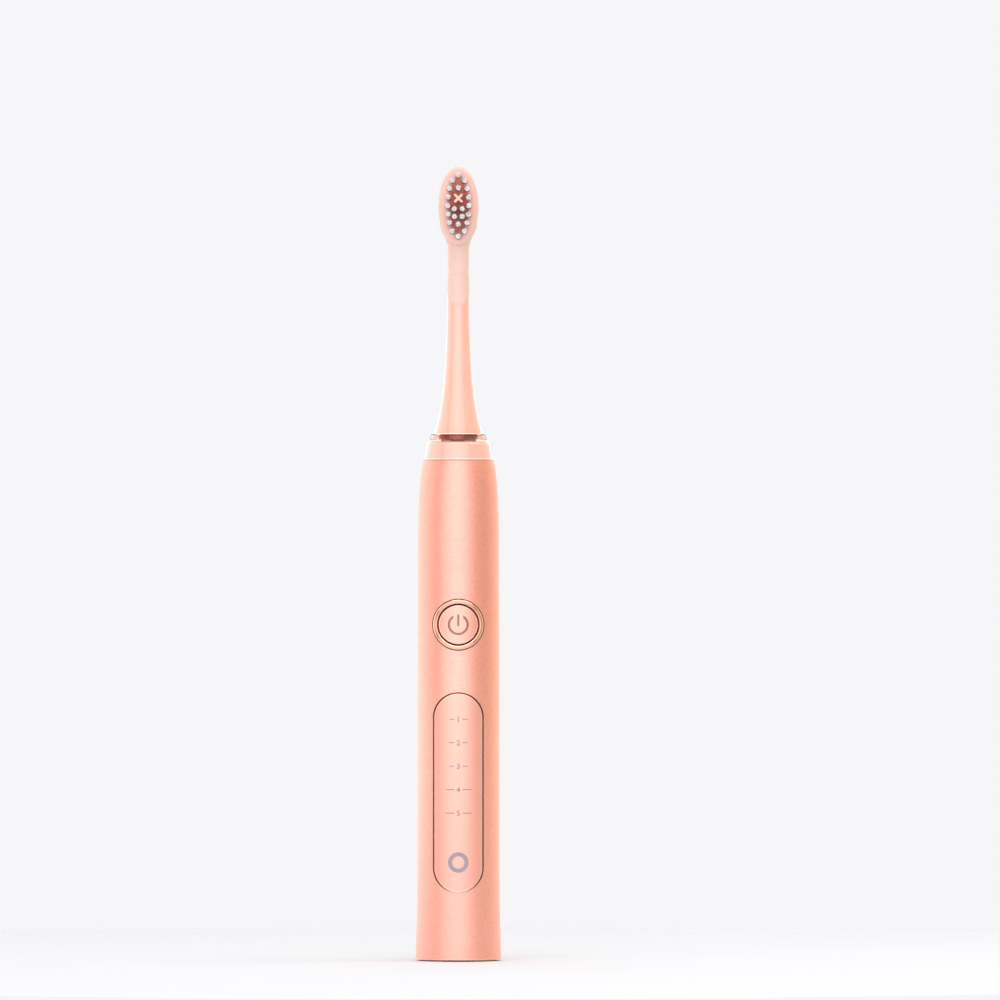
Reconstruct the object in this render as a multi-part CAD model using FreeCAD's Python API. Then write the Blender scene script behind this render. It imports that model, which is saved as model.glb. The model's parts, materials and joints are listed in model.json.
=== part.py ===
# Rechargeable sonic toothbrush: a metal-tube handle with its drive, battery and
# charging well, and a brush head that pulls off the drive shaft.
#
# Millimetres, +Z up along the handle's axis. The origin is on the resting plane,
# under the axis. The front, with the button and the bristles, faces -Y.
import FreeCAD, Part

import math
import os

from FreeCAD import Vector

# ---------------------------------------------------------------- driving sizes
# Handle tube
foot_height = 0.4  # the feet stand this far below the tube's bottom edge
handle_top = 157.8  # top edge of the tube
grip_radius = 13.03  # outer radius at mid grip
base_flare = 0.47  # extra radius at the bottom edge
rim_drop = 1.98  # the top edge is this much smaller than the grip
tube_wall = 1.25  # at mid grip
rim_wall = 1.2  # at the top edge
land_length = 8.0  # straight bore at the top that seats the collar
edge_break = 0.25  # chamfer on the tube's two ends
seat_gap = 0.03  # between faces that seat on each other
slide_gap = 0.05  # around a piece that turns or slides

# Collar and shaft seal
collar_height = 5.7
collar_step = 0.35  # ledge left by the tube's rim
collar_taper = 1.0
collar_round = 1.15
collar_wall = 1.3
collar_roof = 2.3
seal_radius = 5.5
seal_rise = 1.7
seal_shoulder = 0.5
o_ring_section = 1.2

# Power button
button_drop = 51.9  # button centre below the tube's top edge
button_radius = 6.12
button_travel = 0.5
button_sink = 0.12  # the cap sits this far under the grip's surface
button_round = 0.3
bezel_radius = 7.9
bezel_gap = 0.52
bezel_seam = 0.32
bezel_proud = 0.2
bezel_round = 0.35
icon_depth = 0.18
icon_radius = 3.3
icon_line = 0.75
icon_opening = 1.5  # half the ring's gap

# Mode panel: a round-ended inlay below the button
panel_drop = 21.7  # panel top below the button's centre
panel_length = 62.2
panel_half_width = 7.5
panel_gap = 0.5
panel_flange = 0.9
panel_flange_thickness = 0.7
mode_count = 5
mode_pitch = 7.37
mode_drop = 8.0  # first mode mark below the panel's top
mark_lengths = (6.0, 6.0, 6.0, 8.4, 8.4)
mark_window = 2.4  # space in the middle of each mark
mark_width = 0.42
mark_depth = 0.25
light_ring_rise = 9.2  # battery light above the panel's bottom
light_ring_outer = 3.25
light_ring_inner = 1.9
light_ring_depth = 0.55

# Base and charging well
well_radius = 4.5
well_depth = 11.0
well_wall = 1.0
base_plate = 2.0
base_skirt = 8.6
foot_inner = 9.2
foot_outer = 11.2
foot_start = 27.0  # degrees from the front or back
foot_end = 77.0
foot_pocket = 0.6
coil_height = 7.6
lead_radius = 0.28
lead_inset = 1.7  # from the motor can's bore to the leads' centre lines
coil_build = 1.9

# Electronics and battery
front_stack = 5.38  # from the tube's bore to the board's front face
shroud_half_width = 5.4
board_thickness = 1.0
board_margin = 1.2  # board above its top pair of screws' bulkhead
cell_radius = 7.0
cell_length = 48.5
sleeve_thickness = 0.1
tab_thickness = 0.2
pad_radius = 5.0
pad_space = 1.0  # between each end of the cell and its bulkhead
chassis_wall = 1.2
chassis_gap = 0.35
bulkhead = 1.6
screw_radius = 0.8
screw_length = 5.0
screw_head_radius = 1.4
screw_head_height = 0.8
boss_radius = 1.7

# Drive
shaft_radius = 2.0
shaft_flat = 0.7  # depth of the flat near the shaft's tip
shaft_above_collar = 20.5
motor_radius = 8.2
motor_wall = 0.6
motor_length = 32.0
motor_drop = 9.8  # motor's front face below the tube's top edge
nose_radius = 4.4
nose_length = 4.0
bearing_radius = 3.0
stator_length = 18.0
stator_ring = 1.0
pole_width = 5.0
pole_gap = 0.35
hub_radius = 3.0
magnet_thickness = 1.1
torsion_radius = 0.9
torsion_length = 27.0
damper_height = 3.0

# Brush head
head_lift = 0.6  # gap between the collar and the brush head
band_height = 1.65
band_bottom_radius = 9.2
band_top_radius = 8.65
band_wall = 0.8
band_flange = 0.4
id_band_radius = 6.1
id_band_thickness = 0.8
neck_radius = 3.28
neck_flare = 4.3  # extra radius at the bottom of the neck
flare_length = 13.3  # length over which the flare falls by a factor e
neck_length = 50.2  # round part of the neck, above the base ring
sleeve_wall = 0.9
sleeve_cut_height = 40.7  # front of the slanted joint, above the base ring
sleeve_cut_slope = 1.19
stem_radius = 3.35
stem_taper_start = 19.0
socket_roof = 0.6
head_half_width = 6.38
head_half_height = 12.45
head_above_neck = 21.55  # head centre above the end of the round neck
head_front = 3.9  # bristle face in front of the axis
head_thickness = 5.8
head_edge = 1.05
head_back_round = 2.5
clip_thickness = 0.3
clip_width = 2.2
clip_length = 11.0

# Bristles
tuft_radius = 0.85
tuft_length = 9.3
tuft_hole_depth = 2.4
anchor_height = 1.0
anchor_thickness = 0.3
outer_tufts = 16
ring_half_width = 3.35
ring_half_height = 9.65
inner_tufts = [(0.0, 5.6), (-1.25, -1.0), (1.25, -1.0), (-1.22, -3.4), (1.22, -3.4), (0.0, -5.8)]
cross_height = 2.35  # cross centre above the head centre
cross_span = 4.1
cross_width = 0.75
cross_length = 8.6

# ---------------------------------------------------------------- derived places
bore_radius = grip_radius - tube_wall
rim_radius = grip_radius - rim_drop
land_radius = rim_radius - rim_wall
land_bottom = handle_top - land_length
collar_top = handle_top + collar_height
band_bottom = collar_top + head_lift
neck_bottom = band_bottom + band_height + seat_gap
neck_top = neck_bottom + neck_length
head_z = neck_top + head_above_neck
button_z = handle_top - button_drop
panel_top = button_z - panel_drop
panel_bottom = panel_top - panel_length
light_ring_z = panel_bottom + light_ring_rise
mode_heights = [panel_top - mode_drop - i * mode_pitch for i in range(mode_count)]

base_top = foot_height + well_depth + well_wall
chassis_bottom = base_top + 1.2
chassis_radius = bore_radius - chassis_gap
chassis_bore = chassis_radius - chassis_wall
board_front = -(bore_radius - front_stack)
board_back = board_front + board_thickness
board_half_width = math.sqrt(bore_radius**2 - board_front**2) - 0.4
cell_y = board_back + 0.35 + cell_radius + sleeve_thickness
cell_bottom = chassis_bottom + bulkhead + pad_space
cell_top = cell_bottom + cell_length
middle_bulkhead = cell_top + pad_space
boss_x = shroud_half_width + screw_head_radius + 0.1
boot_radius = button_radius + 1.7
top_screw_rise = math.sqrt((boot_radius + screw_head_radius + 0.15) ** 2 - boss_x**2)
top_bulkhead = button_z + top_screw_rise - 0.5 * bulkhead
board_top = top_bulkhead + bulkhead + board_margin
boss_heights = [low + 0.5 * bulkhead for low in (middle_bulkhead, top_bulkhead)]

motor_top = handle_top - motor_drop
motor_bottom = motor_top - motor_length
stator_bottom = motor_bottom + 8.0
stator_top = stator_bottom + stator_length
shaft_bottom = motor_bottom + 1.0
shaft_top = collar_top + shaft_above_collar
flat_bottom = shaft_top - 16.0
anchor_bottom = shaft_bottom - torsion_length
shroud_front = -math.sqrt((bore_radius - panel_flange_thickness - 0.15) ** 2 - shroud_half_width**2)
bezel_back = -(bore_radius - 3.16)
bezel_step = bezel_back - 2.0
boot_back = bezel_back + 0.62


# ---------------------------------------------------------------- shape helpers
def box(x0, x1, y0, y1, z0, z1):
    """Box between two corners."""
    return Part.makeBox(x1 - x0, y1 - y0, z1 - z0, Vector(x0, y0, z0))


def disc(radius, z0, z1, x=0.0, y=0.0):
    """Upright cylinder."""
    return Part.makeCylinder(radius, z1 - z0, Vector(x, y, z0))


def tube(inner, outer, z0, z1):
    """Upright tube on the axis."""
    return disc(outer, z0, z1).cut(disc(inner, z0 - 1, z1 + 1))


def rod_y(radius, x, z, y0, y1):
    """Cylinder along Y."""
    return Part.makeCylinder(radius, y1 - y0, Vector(x, y0, z), Vector(0, 1, 0))


def round_bar(half_width, x0, z0, x1, z1, y0, y1):
    """Bar along Y whose outline is a line from (x0, z0) to (x1, z1), thickened with round ends."""
    run = Vector(x1 - x0, 0, z1 - z0)
    side = Vector(run.z, 0, -run.x).normalize() * half_width
    a, b = Vector(x0, y0, z0), Vector(x1, y0, z1)
    along = Vector(run).normalize() * half_width
    outline = Part.Wire(
        [
            Part.LineSegment(a + side, b + side).toShape(),
            Part.Arc(b + side, b + along, b - side).toShape(),
            Part.LineSegment(b - side, a - side).toShape(),
            Part.Arc(a - side, a - along, a + side).toShape(),
        ]
    )
    return Part.Face(outline).extrude(Vector(0, y1 - y0, 0))


def turned(outline):
    """Solid of revolution about Z from a closed outline of (radius, z) points."""
    points = [Vector(r, 0, z) for r, z in outline]
    face = Part.Face(Part.makePolygon(points + points[:1]))
    return solid(face.revolve(Vector(0, 0, 0), Vector(0, 0, 1), 360))


def solid(shape):
    """The shape as solids that face outwards."""
    made = Part.Solid(shape.Shells[0]) if not shape.Solids else shape
    if made.Volume < 0:
        made.reverse()
    return made


def turned_spline(curve, closing):
    """Solid of revolution from a smooth curve of (radius, z) points, closed by straight runs."""
    spline = Part.BSplineCurve()
    spline.interpolate([Vector(r, 0, z) for r, z in curve])
    ends = [curve[-1], *closing, curve[0]]
    runs = [
        Part.LineSegment(Vector(a[0], 0, a[1]), Vector(b[0], 0, b[1])).toShape()
        for a, b in zip(ends, ends[1:])
    ]
    face = Part.Face(Part.Wire([spline.toShape(), *runs]))
    return solid(face.revolve(Vector(0, 0, 0), Vector(0, 0, 1), 360))


def join(shapes):
    """One shape fused from several that touch."""
    return shapes[0].multiFuse(shapes[1:]).removeSplitter()


def group(shapes):
    """Separate solids kept together in one node."""
    return Part.makeCompound(shapes)


def wedge(inner, outer, z0, z1, start, end):
    """Part of a tube between two angles, in degrees from +X."""
    piece = Part.makeCylinder(outer, z1 - z0, Vector(0, 0, z0), Vector(0, 0, 1), end - start)
    piece.rotate(Vector(0, 0, 0), Vector(0, 0, 1), start)
    return piece.cut(disc(inner, z0 - 1, z1 + 1))


# ---------------------------------------------------------------- handle shell
def grip_form(offset):
    """The handle's outer form, made smaller all round by offset."""
    curve = [
        (grip_radius + base_flare - offset, foot_height),
        (grip_radius + 0.36 * base_flare - offset, foot_height + 12.6),
        (grip_radius + 0.1 * base_flare - offset, foot_height + 30.0),
        (grip_radius - offset, 0.5 * (foot_height + handle_top)),
        (grip_radius - 0.13 - offset, handle_top - 36.0),
        (grip_radius - 0.33 - offset, handle_top - 16.0),
        (grip_radius - 0.63 - offset, handle_top - 9.6),
        (grip_radius - 1.33 - offset, handle_top - 3.3),
        (rim_radius - offset, handle_top),
    ]
    return turned_spline(curve, [(0.0, handle_top), (0.0, foot_height)])


def panel_outline(grow, y0, y1):
    """Round-ended prism through the handle's front, the mode panel's outline made larger by grow."""
    half = panel_half_width + grow
    low = panel_bottom + panel_half_width
    high = panel_top - panel_half_width
    return round_bar(half, 0.0, low, 0.0, high, y0, y1)


def make_body_tube():
    bore = turned(
        [
            (0, foot_height - 1),
            (bore_radius, foot_height - 1),
            (bore_radius, land_bottom - 4.0),
            (land_radius, land_bottom),
            (land_radius, handle_top + 1),
            (0, handle_top + 1),
        ]
    )
    far = -2 * grip_radius
    shell = grip_form(0.0).cut(bore)
    shell = shell.cut(rod_y(bezel_radius + bezel_seam, 0, button_z, far, -0.5 * bore_radius))
    shell = shell.cut(panel_outline(panel_gap, far, -0.5 * bore_radius))
    ends = [
        e
        for e in shell.Edges
        if e.Curve.TypeId == "Part::GeomCircle"
        and (abs(e.Vertexes[0].Z - handle_top) < 0.01 or abs(e.Vertexes[0].Z - foot_height) < 0.01)
        and e.Curve.Radius > bore_radius - rim_drop
    ]
    outer = [e for e in ends if e.Curve.Radius > bore_radius or abs(e.Curve.Radius - rim_radius) < 0.01]
    return shell.makeChamfer(edge_break, outer)


def make_top_collar():
    low = rim_radius - collar_step
    high = low - collar_taper
    spigot = land_radius - slide_gap
    bore = spigot - collar_wall
    groove_top = handle_top - 3.0
    groove_bottom = groove_top - 1.15 * o_ring_section
    groove = land_radius - o_ring_section - seat_gap
    roof = collar_top - collar_roof
    blank = turned(
        [
            (seal_radius - 0.5, collar_top),
            (high, collar_top),
            (low, handle_top + seat_gap),
            (spigot, handle_top + seat_gap),
            (spigot, groove_top),
            (groove, groove_top),
            (groove, groove_bottom),
            (spigot, groove_bottom),
            (spigot, land_bottom + 1.0),
            (bore, land_bottom + 1.0),
            (bore, roof),
            (seal_radius - 0.5, roof),
        ]
    )
    shoulder = [
        e
        for e in blank.Edges
        if e.Curve.TypeId == "Part::GeomCircle"
        and abs(e.Curve.Radius - high) < 0.01
        and abs(e.Vertexes[0].Z - collar_top) < 0.01
    ]
    return blank.makeFillet(collar_round, shoulder)


def make_collar_o_ring():
    section = 0.5 * o_ring_section
    z = handle_top - 3.0 - 0.575 * o_ring_section
    return Part.makeTorus(land_radius - section - 0.5 * seat_gap, section - 0.01, Vector(0, 0, z))


def make_shaft_seal():
    neck = seal_radius - 0.5 - seat_gap
    roof = collar_top - collar_roof
    lip = shaft_radius + slide_gap
    body = turned(
        [
            (lip, collar_top + seal_rise),
            (lip + 0.6, collar_top + seal_rise),
            (seal_radius, collar_top + seal_shoulder),
            (seal_radius, collar_top + seat_gap),
            (neck, collar_top + seat_gap),
            (neck, roof - seat_gap),
            (seal_radius + 1.1, roof - seat_gap),
            (seal_radius + 1.1, roof - 0.9),
            (lip + 0.8, roof - 0.9),
            (lip + 0.8, collar_top - 0.2),
            (lip, collar_top + 0.4),
        ]
    )
    drain = box(-2.05, 2.05, -seal_radius - 1, -3.6, collar_top + seat_gap, collar_top + head_lift)
    return body.cut(drain)


# ---------------------------------------------------------------- button
def front_edges(shape, radius):
    """The edges that lie about that far from the button's centre line, in front of the bezel's back."""
    found = []
    for edge in shape.Edges:
        middle = edge.valueAt(0.5 * (edge.FirstParameter + edge.LastParameter))
        reach = math.hypot(middle.x, middle.z - button_z)
        if abs(reach - radius) < 0.02 and middle.y < bezel_step - 0.05 and edge.Length > radius:
            found.append(edge)
    return found


def make_button_bezel():
    inner = button_radius + bezel_gap
    blank = rod_y(bezel_radius, 0, button_z, -2 * grip_radius, bezel_back)
    blank = blank.common(grip_form(-bezel_proud))
    blank = blank.cut(rod_y(inner, 0, button_z, -2 * grip_radius, 0))
    blank = blank.makeFillet(bezel_round, front_edges(blank, inner) + front_edges(blank, bezel_radius))
    return blank.cut(rod_y(button_radius + 0.85, 0, button_z, bezel_step, 0))


def power_icon(y0, y1):
    """Open ring with a bar in its gap, as prisms along Y."""
    half = 0.5 * icon_line
    ring = rod_y(icon_radius, 0, button_z, y0, y1)
    ring = ring.cut(rod_y(icon_radius - icon_line, 0, button_z, y0 - 1, y1 + 1))
    gap = box(-icon_opening, icon_opening, y0 - 1, y1 + 1, button_z, button_z + 2 * icon_radius)
    bar = round_bar(half, 0, button_z - 0.1, 0, button_z + icon_radius - half, y0, y1)
    return ring.cut(gap), bar


def make_power_button():
    back = bezel_back - 1.0
    cap = rod_y(button_radius, 0, button_z, -2 * grip_radius, back)
    cap = cap.common(grip_form(button_sink))
    cap = cap.makeFillet(button_round, front_edges(cap, button_radius))
    flange = rod_y(button_radius + 0.63, 0, button_z, bezel_step + slide_gap, back)
    stem = rod_y(1.6, 0, button_z, back, bezel_back - 0.65)
    cap = join([cap, flange, stem])
    for mark in power_icon(-2 * grip_radius, -0.5 * grip_radius):
        cap = cap.cut(mark.cut(grip_form(button_sink + icon_depth)))
    return cap


def make_button_boot():
    """Rubber boot between the cap and the switch, standing on the board."""
    web = rod_y(boot_radius, 0, button_z, bezel_back + seat_gap, boot_back)
    nub = rod_y(1.6, 0, button_z, bezel_back - 0.6, bezel_back + seat_gap)
    skirt = rod_y(boot_radius, 0, button_z, boot_back, board_front - seat_gap)
    skirt = skirt.cut(rod_y(boot_radius - 1.0, 0, button_z, boot_back - 1, board_front + 1))
    return join([web, nub, skirt])


def make_tact_switch():
    body = box(-2.3, 2.3, board_front - 1.2, board_front, button_z - 2.3, button_z + 2.3)
    return body.cut(rod_y(0.95, 0, button_z, board_front - 2, board_front - 0.6))


def make_switch_plunger():
    return rod_y(0.9, 0, button_z, boot_back + seat_gap, board_front - 0.6 - button_travel - slide_gap)


# ---------------------------------------------------------------- mode panel
def mode_mark_solids(depth):
    """Two dashes for each mode, as round-ended inlays either side of a clear window."""
    half = 0.5 * mark_width
    ground = grip_form(depth)
    skin = grip_form(0.02)
    dashes = []
    for z, length in zip(mode_heights, mark_lengths):
        near, far = 0.5 * mark_window + half, 0.5 * length - half
        for x0, x1 in ((-far, -near), (near, far)):
            dash = round_bar(half, x0, z, x1, z, -2 * grip_radius, -0.5 * bore_radius)
            dashes.append(dash.common(skin).cut(ground))
    return dashes


def make_mode_panel():
    inner = disc(bore_radius - panel_flange_thickness, 0, handle_top)
    plate = panel_outline(0.0, -2 * grip_radius, 0).common(grip_form(0.02)).cut(inner)
    shell = disc(bore_radius - seat_gap, 0, handle_top).cut(inner)
    flange = panel_outline(panel_gap + panel_flange, -2 * grip_radius, 0).common(shell)
    panel = join([plate, flange])
    for mark in mode_mark_solids(mark_depth):
        panel = panel.cut(mark)
    pocket = rod_y(light_ring_outer, 0, light_ring_z, -2 * grip_radius, 0)
    pocket = pocket.cut(rod_y(light_ring_inner, 0, light_ring_z, -2 * grip_radius, 0))
    return panel.cut(pocket.cut(grip_form(light_ring_depth)))


def make_mode_marks():
    return group(mode_mark_solids(mark_depth - 0.01))


def make_light_ring():
    ring = rod_y(light_ring_outer - 0.02, 0, light_ring_z, -2 * grip_radius, 0)
    ring = ring.cut(rod_y(light_ring_inner + 0.02, 0, light_ring_z, -2 * grip_radius, 0))
    return ring.common(grip_form(0.02)).cut(grip_form(light_ring_depth - 0.02))


def make_light_shroud():
    low, high = panel_bottom + 3.5, panel_top - 4.0
    block = box(-shroud_half_width, shroud_half_width, shroud_front, board_front - seat_gap, low, high)
    for z in mode_heights:
        block = block.cut(box(-3.2, 3.2, shroud_front - 1, board_front + 1, z - 1.6, z + 1.6))
    return block.cut(rod_y(light_ring_outer + 0.6, 0, light_ring_z, shroud_front - 1, board_front + 1))


def lamp(x, z):
    """One surface-mounted lamp on the board's front."""
    return box(x - 0.8, x + 0.8, board_front - 0.6, board_front, z - 0.5, z + 0.5)


def make_indicator_lamps():
    modes = [lamp(0, z) for z in mode_heights]
    ring = [lamp(x, light_ring_z + s) for x, s in ((-2.2, 0), (2.2, 0), (0, 2.2), (0, -2.2))]
    return group(modes + ring)


# ---------------------------------------------------------------- electronics
def make_control_board():
    board = box(-board_half_width, board_half_width, board_front, board_back, chassis_bottom + 0.4, board_top)
    for z in boss_heights:
        for x in (-boss_x, boss_x):
            board = board.cut(rod_y(screw_radius + 0.1, x, z, board_front - 1, board_back + 1))
    return board


def make_board_components():
    z = panel_top + 5.5
    front = board_front
    controller = box(-2.5, 2.5, front - 0.9, front, z - 2.5, z + 2.5)
    charger = box(-8.6, -6.2, front - 0.9, front, panel_bottom - 3.0, panel_bottom - 0.2)
    driver = box(6.2, 8.6, front - 0.9, front, z - 6.0, z - 3.0)
    spots = [(x, z + step) for x in (-4.6, 4.6) for step in (-2.0, 0.0, 2.0)]
    passives = [box(x - 0.5, x + 0.5, front - 0.5, front, low, low + 0.6) for x, low in spots]
    return group([controller, charger, driver, *passives])


def screw(x, z):
    head = rod_y(screw_head_radius, x, z, board_front - screw_head_height, board_front)
    shank = rod_y(screw_radius - seat_gap, x, z, board_front, board_front + screw_length)
    slot = box(x - 0.9, x + 0.9, board_front - 2, board_front - 0.5, z - 0.15, z + 0.15)
    cross = box(x - 0.15, x + 0.15, board_front - 2, board_front - 0.5, z - 0.9, z + 0.9)
    return join([head, shank]).cut(slot).cut(cross)


def make_board_screws():
    return group([screw(x, z) for z in boss_heights for x in (-boss_x, boss_x)])


def make_battery_cell():
    can = disc(cell_radius, cell_bottom, cell_top - 0.8, 0, cell_y)
    cap = disc(2.6, cell_top - 0.8, cell_top, 0, cell_y)
    return join([can, cap])


def make_battery_sleeve():
    outer = cell_radius + sleeve_thickness
    length = cell_length - 1.6
    low = cell_bottom + 0.4
    sleeve = disc(outer, low, low + length, 0, cell_y)
    return sleeve.cut(disc(cell_radius + 0.02, low - 1, low + length + 1, 0, cell_y))


def make_battery_tabs():
    reach = cell_y + 3.0
    pieces = []
    for z in (cell_bottom - tab_thickness, cell_top):
        pieces.append(box(-2.0, 2.0, board_back + seat_gap, reach, z, z + tab_thickness))
    return group(pieces)


def make_battery_pads():
    low = disc(pad_radius, chassis_bottom + bulkhead, cell_bottom - tab_thickness - seat_gap, 0, cell_y)
    high = disc(pad_radius, cell_top + tab_thickness + seat_gap, middle_bulkhead - seat_gap, 0, cell_y)
    return group([low, high])


def make_chassis():
    """Open trough that carries the battery, the board and, in its upper cradle, the motor."""
    trough = tube(chassis_bore, chassis_radius, chassis_bottom, board_top)
    inside = disc(chassis_bore + 0.3, chassis_bottom, board_top)
    front = box(-20, 20, -20, board_back, chassis_bottom - 1, handle_top)
    plates = []
    for low in (chassis_bottom, middle_bulkhead, top_bulkhead):
        plates.append(disc(chassis_bore + 0.3, low, low + bulkhead))
    for z in (cell_bottom + 8.0, cell_top - 10.0):
        rib = disc(chassis_bore + 0.3, z, z + chassis_wall)
        plates.append(rib.cut(disc(cell_radius + sleeve_thickness + seat_gap, z - 1, z + 3, 0, cell_y)))
    cradle = tube(chassis_bore, chassis_radius, board_top - 1.0, motor_top - 4.0)
    cradle = cradle.common(box(-20, 20, 2.0, 20, 0, handle_top))
    screw_places = [(x, z) for z in boss_heights for x in (-boss_x, boss_x)]
    boss_end = board_back + screw_length + 1.0
    bosses = [rod_y(boss_radius, x, z, board_back, boss_end).common(inside) for x, z in screw_places]
    pilots = [rod_y(screw_radius, x, z, board_back - 1, board_back + screw_length) for x, z in screw_places]
    spring_hole = disc(2 * torsion_radius, top_bulkhead - 1, board_top)
    whole = join([trough, *plates, cradle]).cut(front)
    return join([whole, *bosses]).cut([*pilots, spring_hole])


# ---------------------------------------------------------------- drive
def make_spring_anchor():
    """Block across the chassis that holds the far end of the torsion bar."""
    low, high = anchor_bottom, anchor_bottom + 4.0
    arm = box(-20, 20, -3.0, 3.0, low, high).common(disc(chassis_bore - seat_gap, low, high))
    hub = disc(4.2, low, high)
    return join([arm, hub]).cut(disc(torsion_radius + slide_gap, low - 1, high + 1))


def make_torsion_bar():
    return disc(torsion_radius, anchor_bottom - 0.5, shaft_bottom - seat_gap)


def make_drive_shaft():
    shaft = disc(shaft_radius, shaft_bottom, shaft_top)
    rounds = [e for e in shaft.Edges if e.Curve.TypeId == "Part::GeomCircle"]
    tip = [e for e in rounds if abs(e.Vertexes[0].Z - shaft_top) < 0.01]
    shaft = shaft.makeChamfer(0.4, tip)
    flat = box(-5, 5, shaft_radius - shaft_flat, 5, flat_bottom, shaft_top + 1)
    groove = tube(shaft_radius - 0.3, shaft_radius + 1, shaft_top - 3.2, shaft_top - 2.4)
    return shaft.cut(flat).cut(groove)


def make_rotor_hub():
    hub = tube(shaft_radius + 0.01, hub_radius, stator_bottom, stator_top)
    return hub


def make_rotor_magnets():
    inner = hub_radius + 0.01
    outer = inner + magnet_thickness
    return group([wedge(inner, outer, stator_bottom, stator_top, a, a + 100) for a in (40, 220)])


magnet_outer = hub_radius + magnet_thickness + 0.01
pole_face = magnet_outer + pole_gap
can_bore = motor_radius - motor_wall


def make_stator_core():
    low, high = stator_bottom, stator_top
    ring = tube(can_bore - stator_ring, can_bore - seat_gap, low, high)
    half = 0.5 * pole_width
    poles = box(-can_bore + 0.3, can_bore - 0.3, -half, half, low + 2.0, high - 2.0)
    return join([ring, poles.common(disc(can_bore - 0.3, low, high))]).cut(disc(pole_face, low - 1, high + 1))


def make_stator_coils():
    """Two windings, one round each pole."""
    half = 0.5 * pole_width
    windings = []
    for side in (-1, 1):
        near, far = pole_face + 0.15, can_bore - stator_ring - 0.1
        x0, x1 = sorted((side * near, side * far))
        block = box(x0, x1, -half - 1.1, half + 1.1, stator_bottom + 0.7, stator_top - 0.7)
        reach = half + seat_gap
        low, high = stator_bottom + 2.0 - seat_gap, stator_top - 2.0 + seat_gap
        hole = box(x0 - 1, x1 + 1, -reach, reach, low, high)
        limit = disc(can_bore - stator_ring - 0.1, stator_bottom, stator_top)
        windings.append(block.cut(hole).common(limit).cut(disc(pole_face + 0.1, 0, handle_top)))
    return group(windings)


def make_motor_can():
    return tube(can_bore, motor_radius, motor_bottom, motor_top - 2.0)


def make_motor_rear_cap():
    outer = can_bore - seat_gap
    plate = disc(outer, motor_bottom + 2.4, motor_bottom + 4.4)
    hub = disc(nose_radius, motor_bottom + 0.4, motor_bottom + 6.4)
    return join([plate, hub]).cut(disc(bearing_radius, motor_bottom - 1, motor_bottom + 7))


def make_motor_front_cap():
    flange = disc(motor_radius, motor_top - 2.0 + seat_gap, motor_top)
    spigot = disc(can_bore - seat_gap, motor_top - 3.6, motor_top - 2.0 + seat_gap)
    nose = disc(nose_radius, motor_top, motor_top + nose_length)
    return join([flange, spigot, nose]).cut(disc(bearing_radius, motor_top - 5, motor_top + nose_length + 1))


def bush(z0, z1):
    return tube(shaft_radius + slide_gap, bearing_radius - 0.01, z0, z1)


def make_front_bearing():
    return bush(motor_top - 1.5, motor_top + nose_length)


def make_rear_bearing():
    return bush(motor_bottom + 1.4, motor_bottom + 6.4)


def make_motor_dampers():
    """Two rubber rings that hold the motor in the chassis cradle."""
    lows = (motor_bottom + 0.5, motor_top - 4.0 - damper_height)
    return group([tube(motor_radius + 0.01, chassis_bore - 0.01, low, low + damper_height) for low in lows])


# ---------------------------------------------------------------- base
def make_base_cap():
    outer = bore_radius - slide_gap
    groove_top = foot_height + 6.4
    groove_bottom = groove_top - 1.15 * o_ring_section
    groove = bore_radius - o_ring_section - seat_gap
    inner = groove - 0.9
    well_top = foot_height + well_depth
    cap = turned(
        [
            (well_radius, foot_height),
            (outer, foot_height),
            (outer, groove_bottom),
            (groove, groove_bottom),
            (groove, groove_top),
            (outer, groove_top),
            (outer, foot_height + base_skirt),
            (inner, foot_height + base_skirt),
            (inner, foot_height + base_plate),
            (well_radius + well_wall, foot_height + base_plate),
            (well_radius + well_wall, well_top + well_wall),
            (0, well_top + well_wall),
            (0, well_top),
            (well_radius, well_top),
        ]
    )
    mouth = [
        e
        for e in cap.Edges
        if e.Curve.TypeId == "Part::GeomCircle"
        and abs(e.Curve.Radius - well_radius) < 0.01
        and abs(e.Vertexes[0].Z - foot_height) < 0.01
    ]
    cap = cap.makeChamfer(0.3, mouth)
    inner, outer, top = foot_inner - seat_gap, foot_outer + seat_gap, foot_height + foot_pocket
    span = foot_end - foot_start
    return cap.cut([wedge(inner, outer, 0, top, a - 0.2, a + span + 0.2) for a in foot_angles()])


def foot_angles():
    """Where each foot starts, in degrees from +X: two in front and two behind."""
    return [base + foot_start for base in (-90, 90)] + [base - foot_end for base in (-90, 90)]


def make_base_feet():
    top = foot_height + foot_pocket - seat_gap
    span = foot_end - foot_start
    return group([wedge(foot_inner, foot_outer, 0.0, top, a, a + span) for a in foot_angles()])


def make_base_o_ring():
    section = 0.5 * o_ring_section
    z = foot_height + 6.4 - 0.575 * o_ring_section
    return Part.makeTorus(bore_radius - section - 0.5 * seat_gap, section - 0.01, Vector(0, 0, z))


coil_bottom = foot_height + base_plate + 0.4
coil_core = well_radius + well_wall + 0.8


def make_coil_bobbin():
    outer = coil_core + coil_build + 0.3
    low, high = coil_bottom, coil_bottom + coil_height
    inner = well_radius + well_wall + seat_gap
    return turned(
        [
            (inner, low - 0.4 + seat_gap),
            (outer, low - 0.4 + seat_gap),
            (outer, low + 0.4),
            (coil_core, low + 0.4),
            (coil_core, high - 0.8),
            (outer, high - 0.8),
            (outer, high),
            (inner, high),
        ]
    )


def make_charging_coil():
    low, high = coil_bottom + 0.42, coil_bottom + coil_height - 0.82
    return tube(coil_core + 0.02, coil_core + coil_build, low, high)


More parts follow.
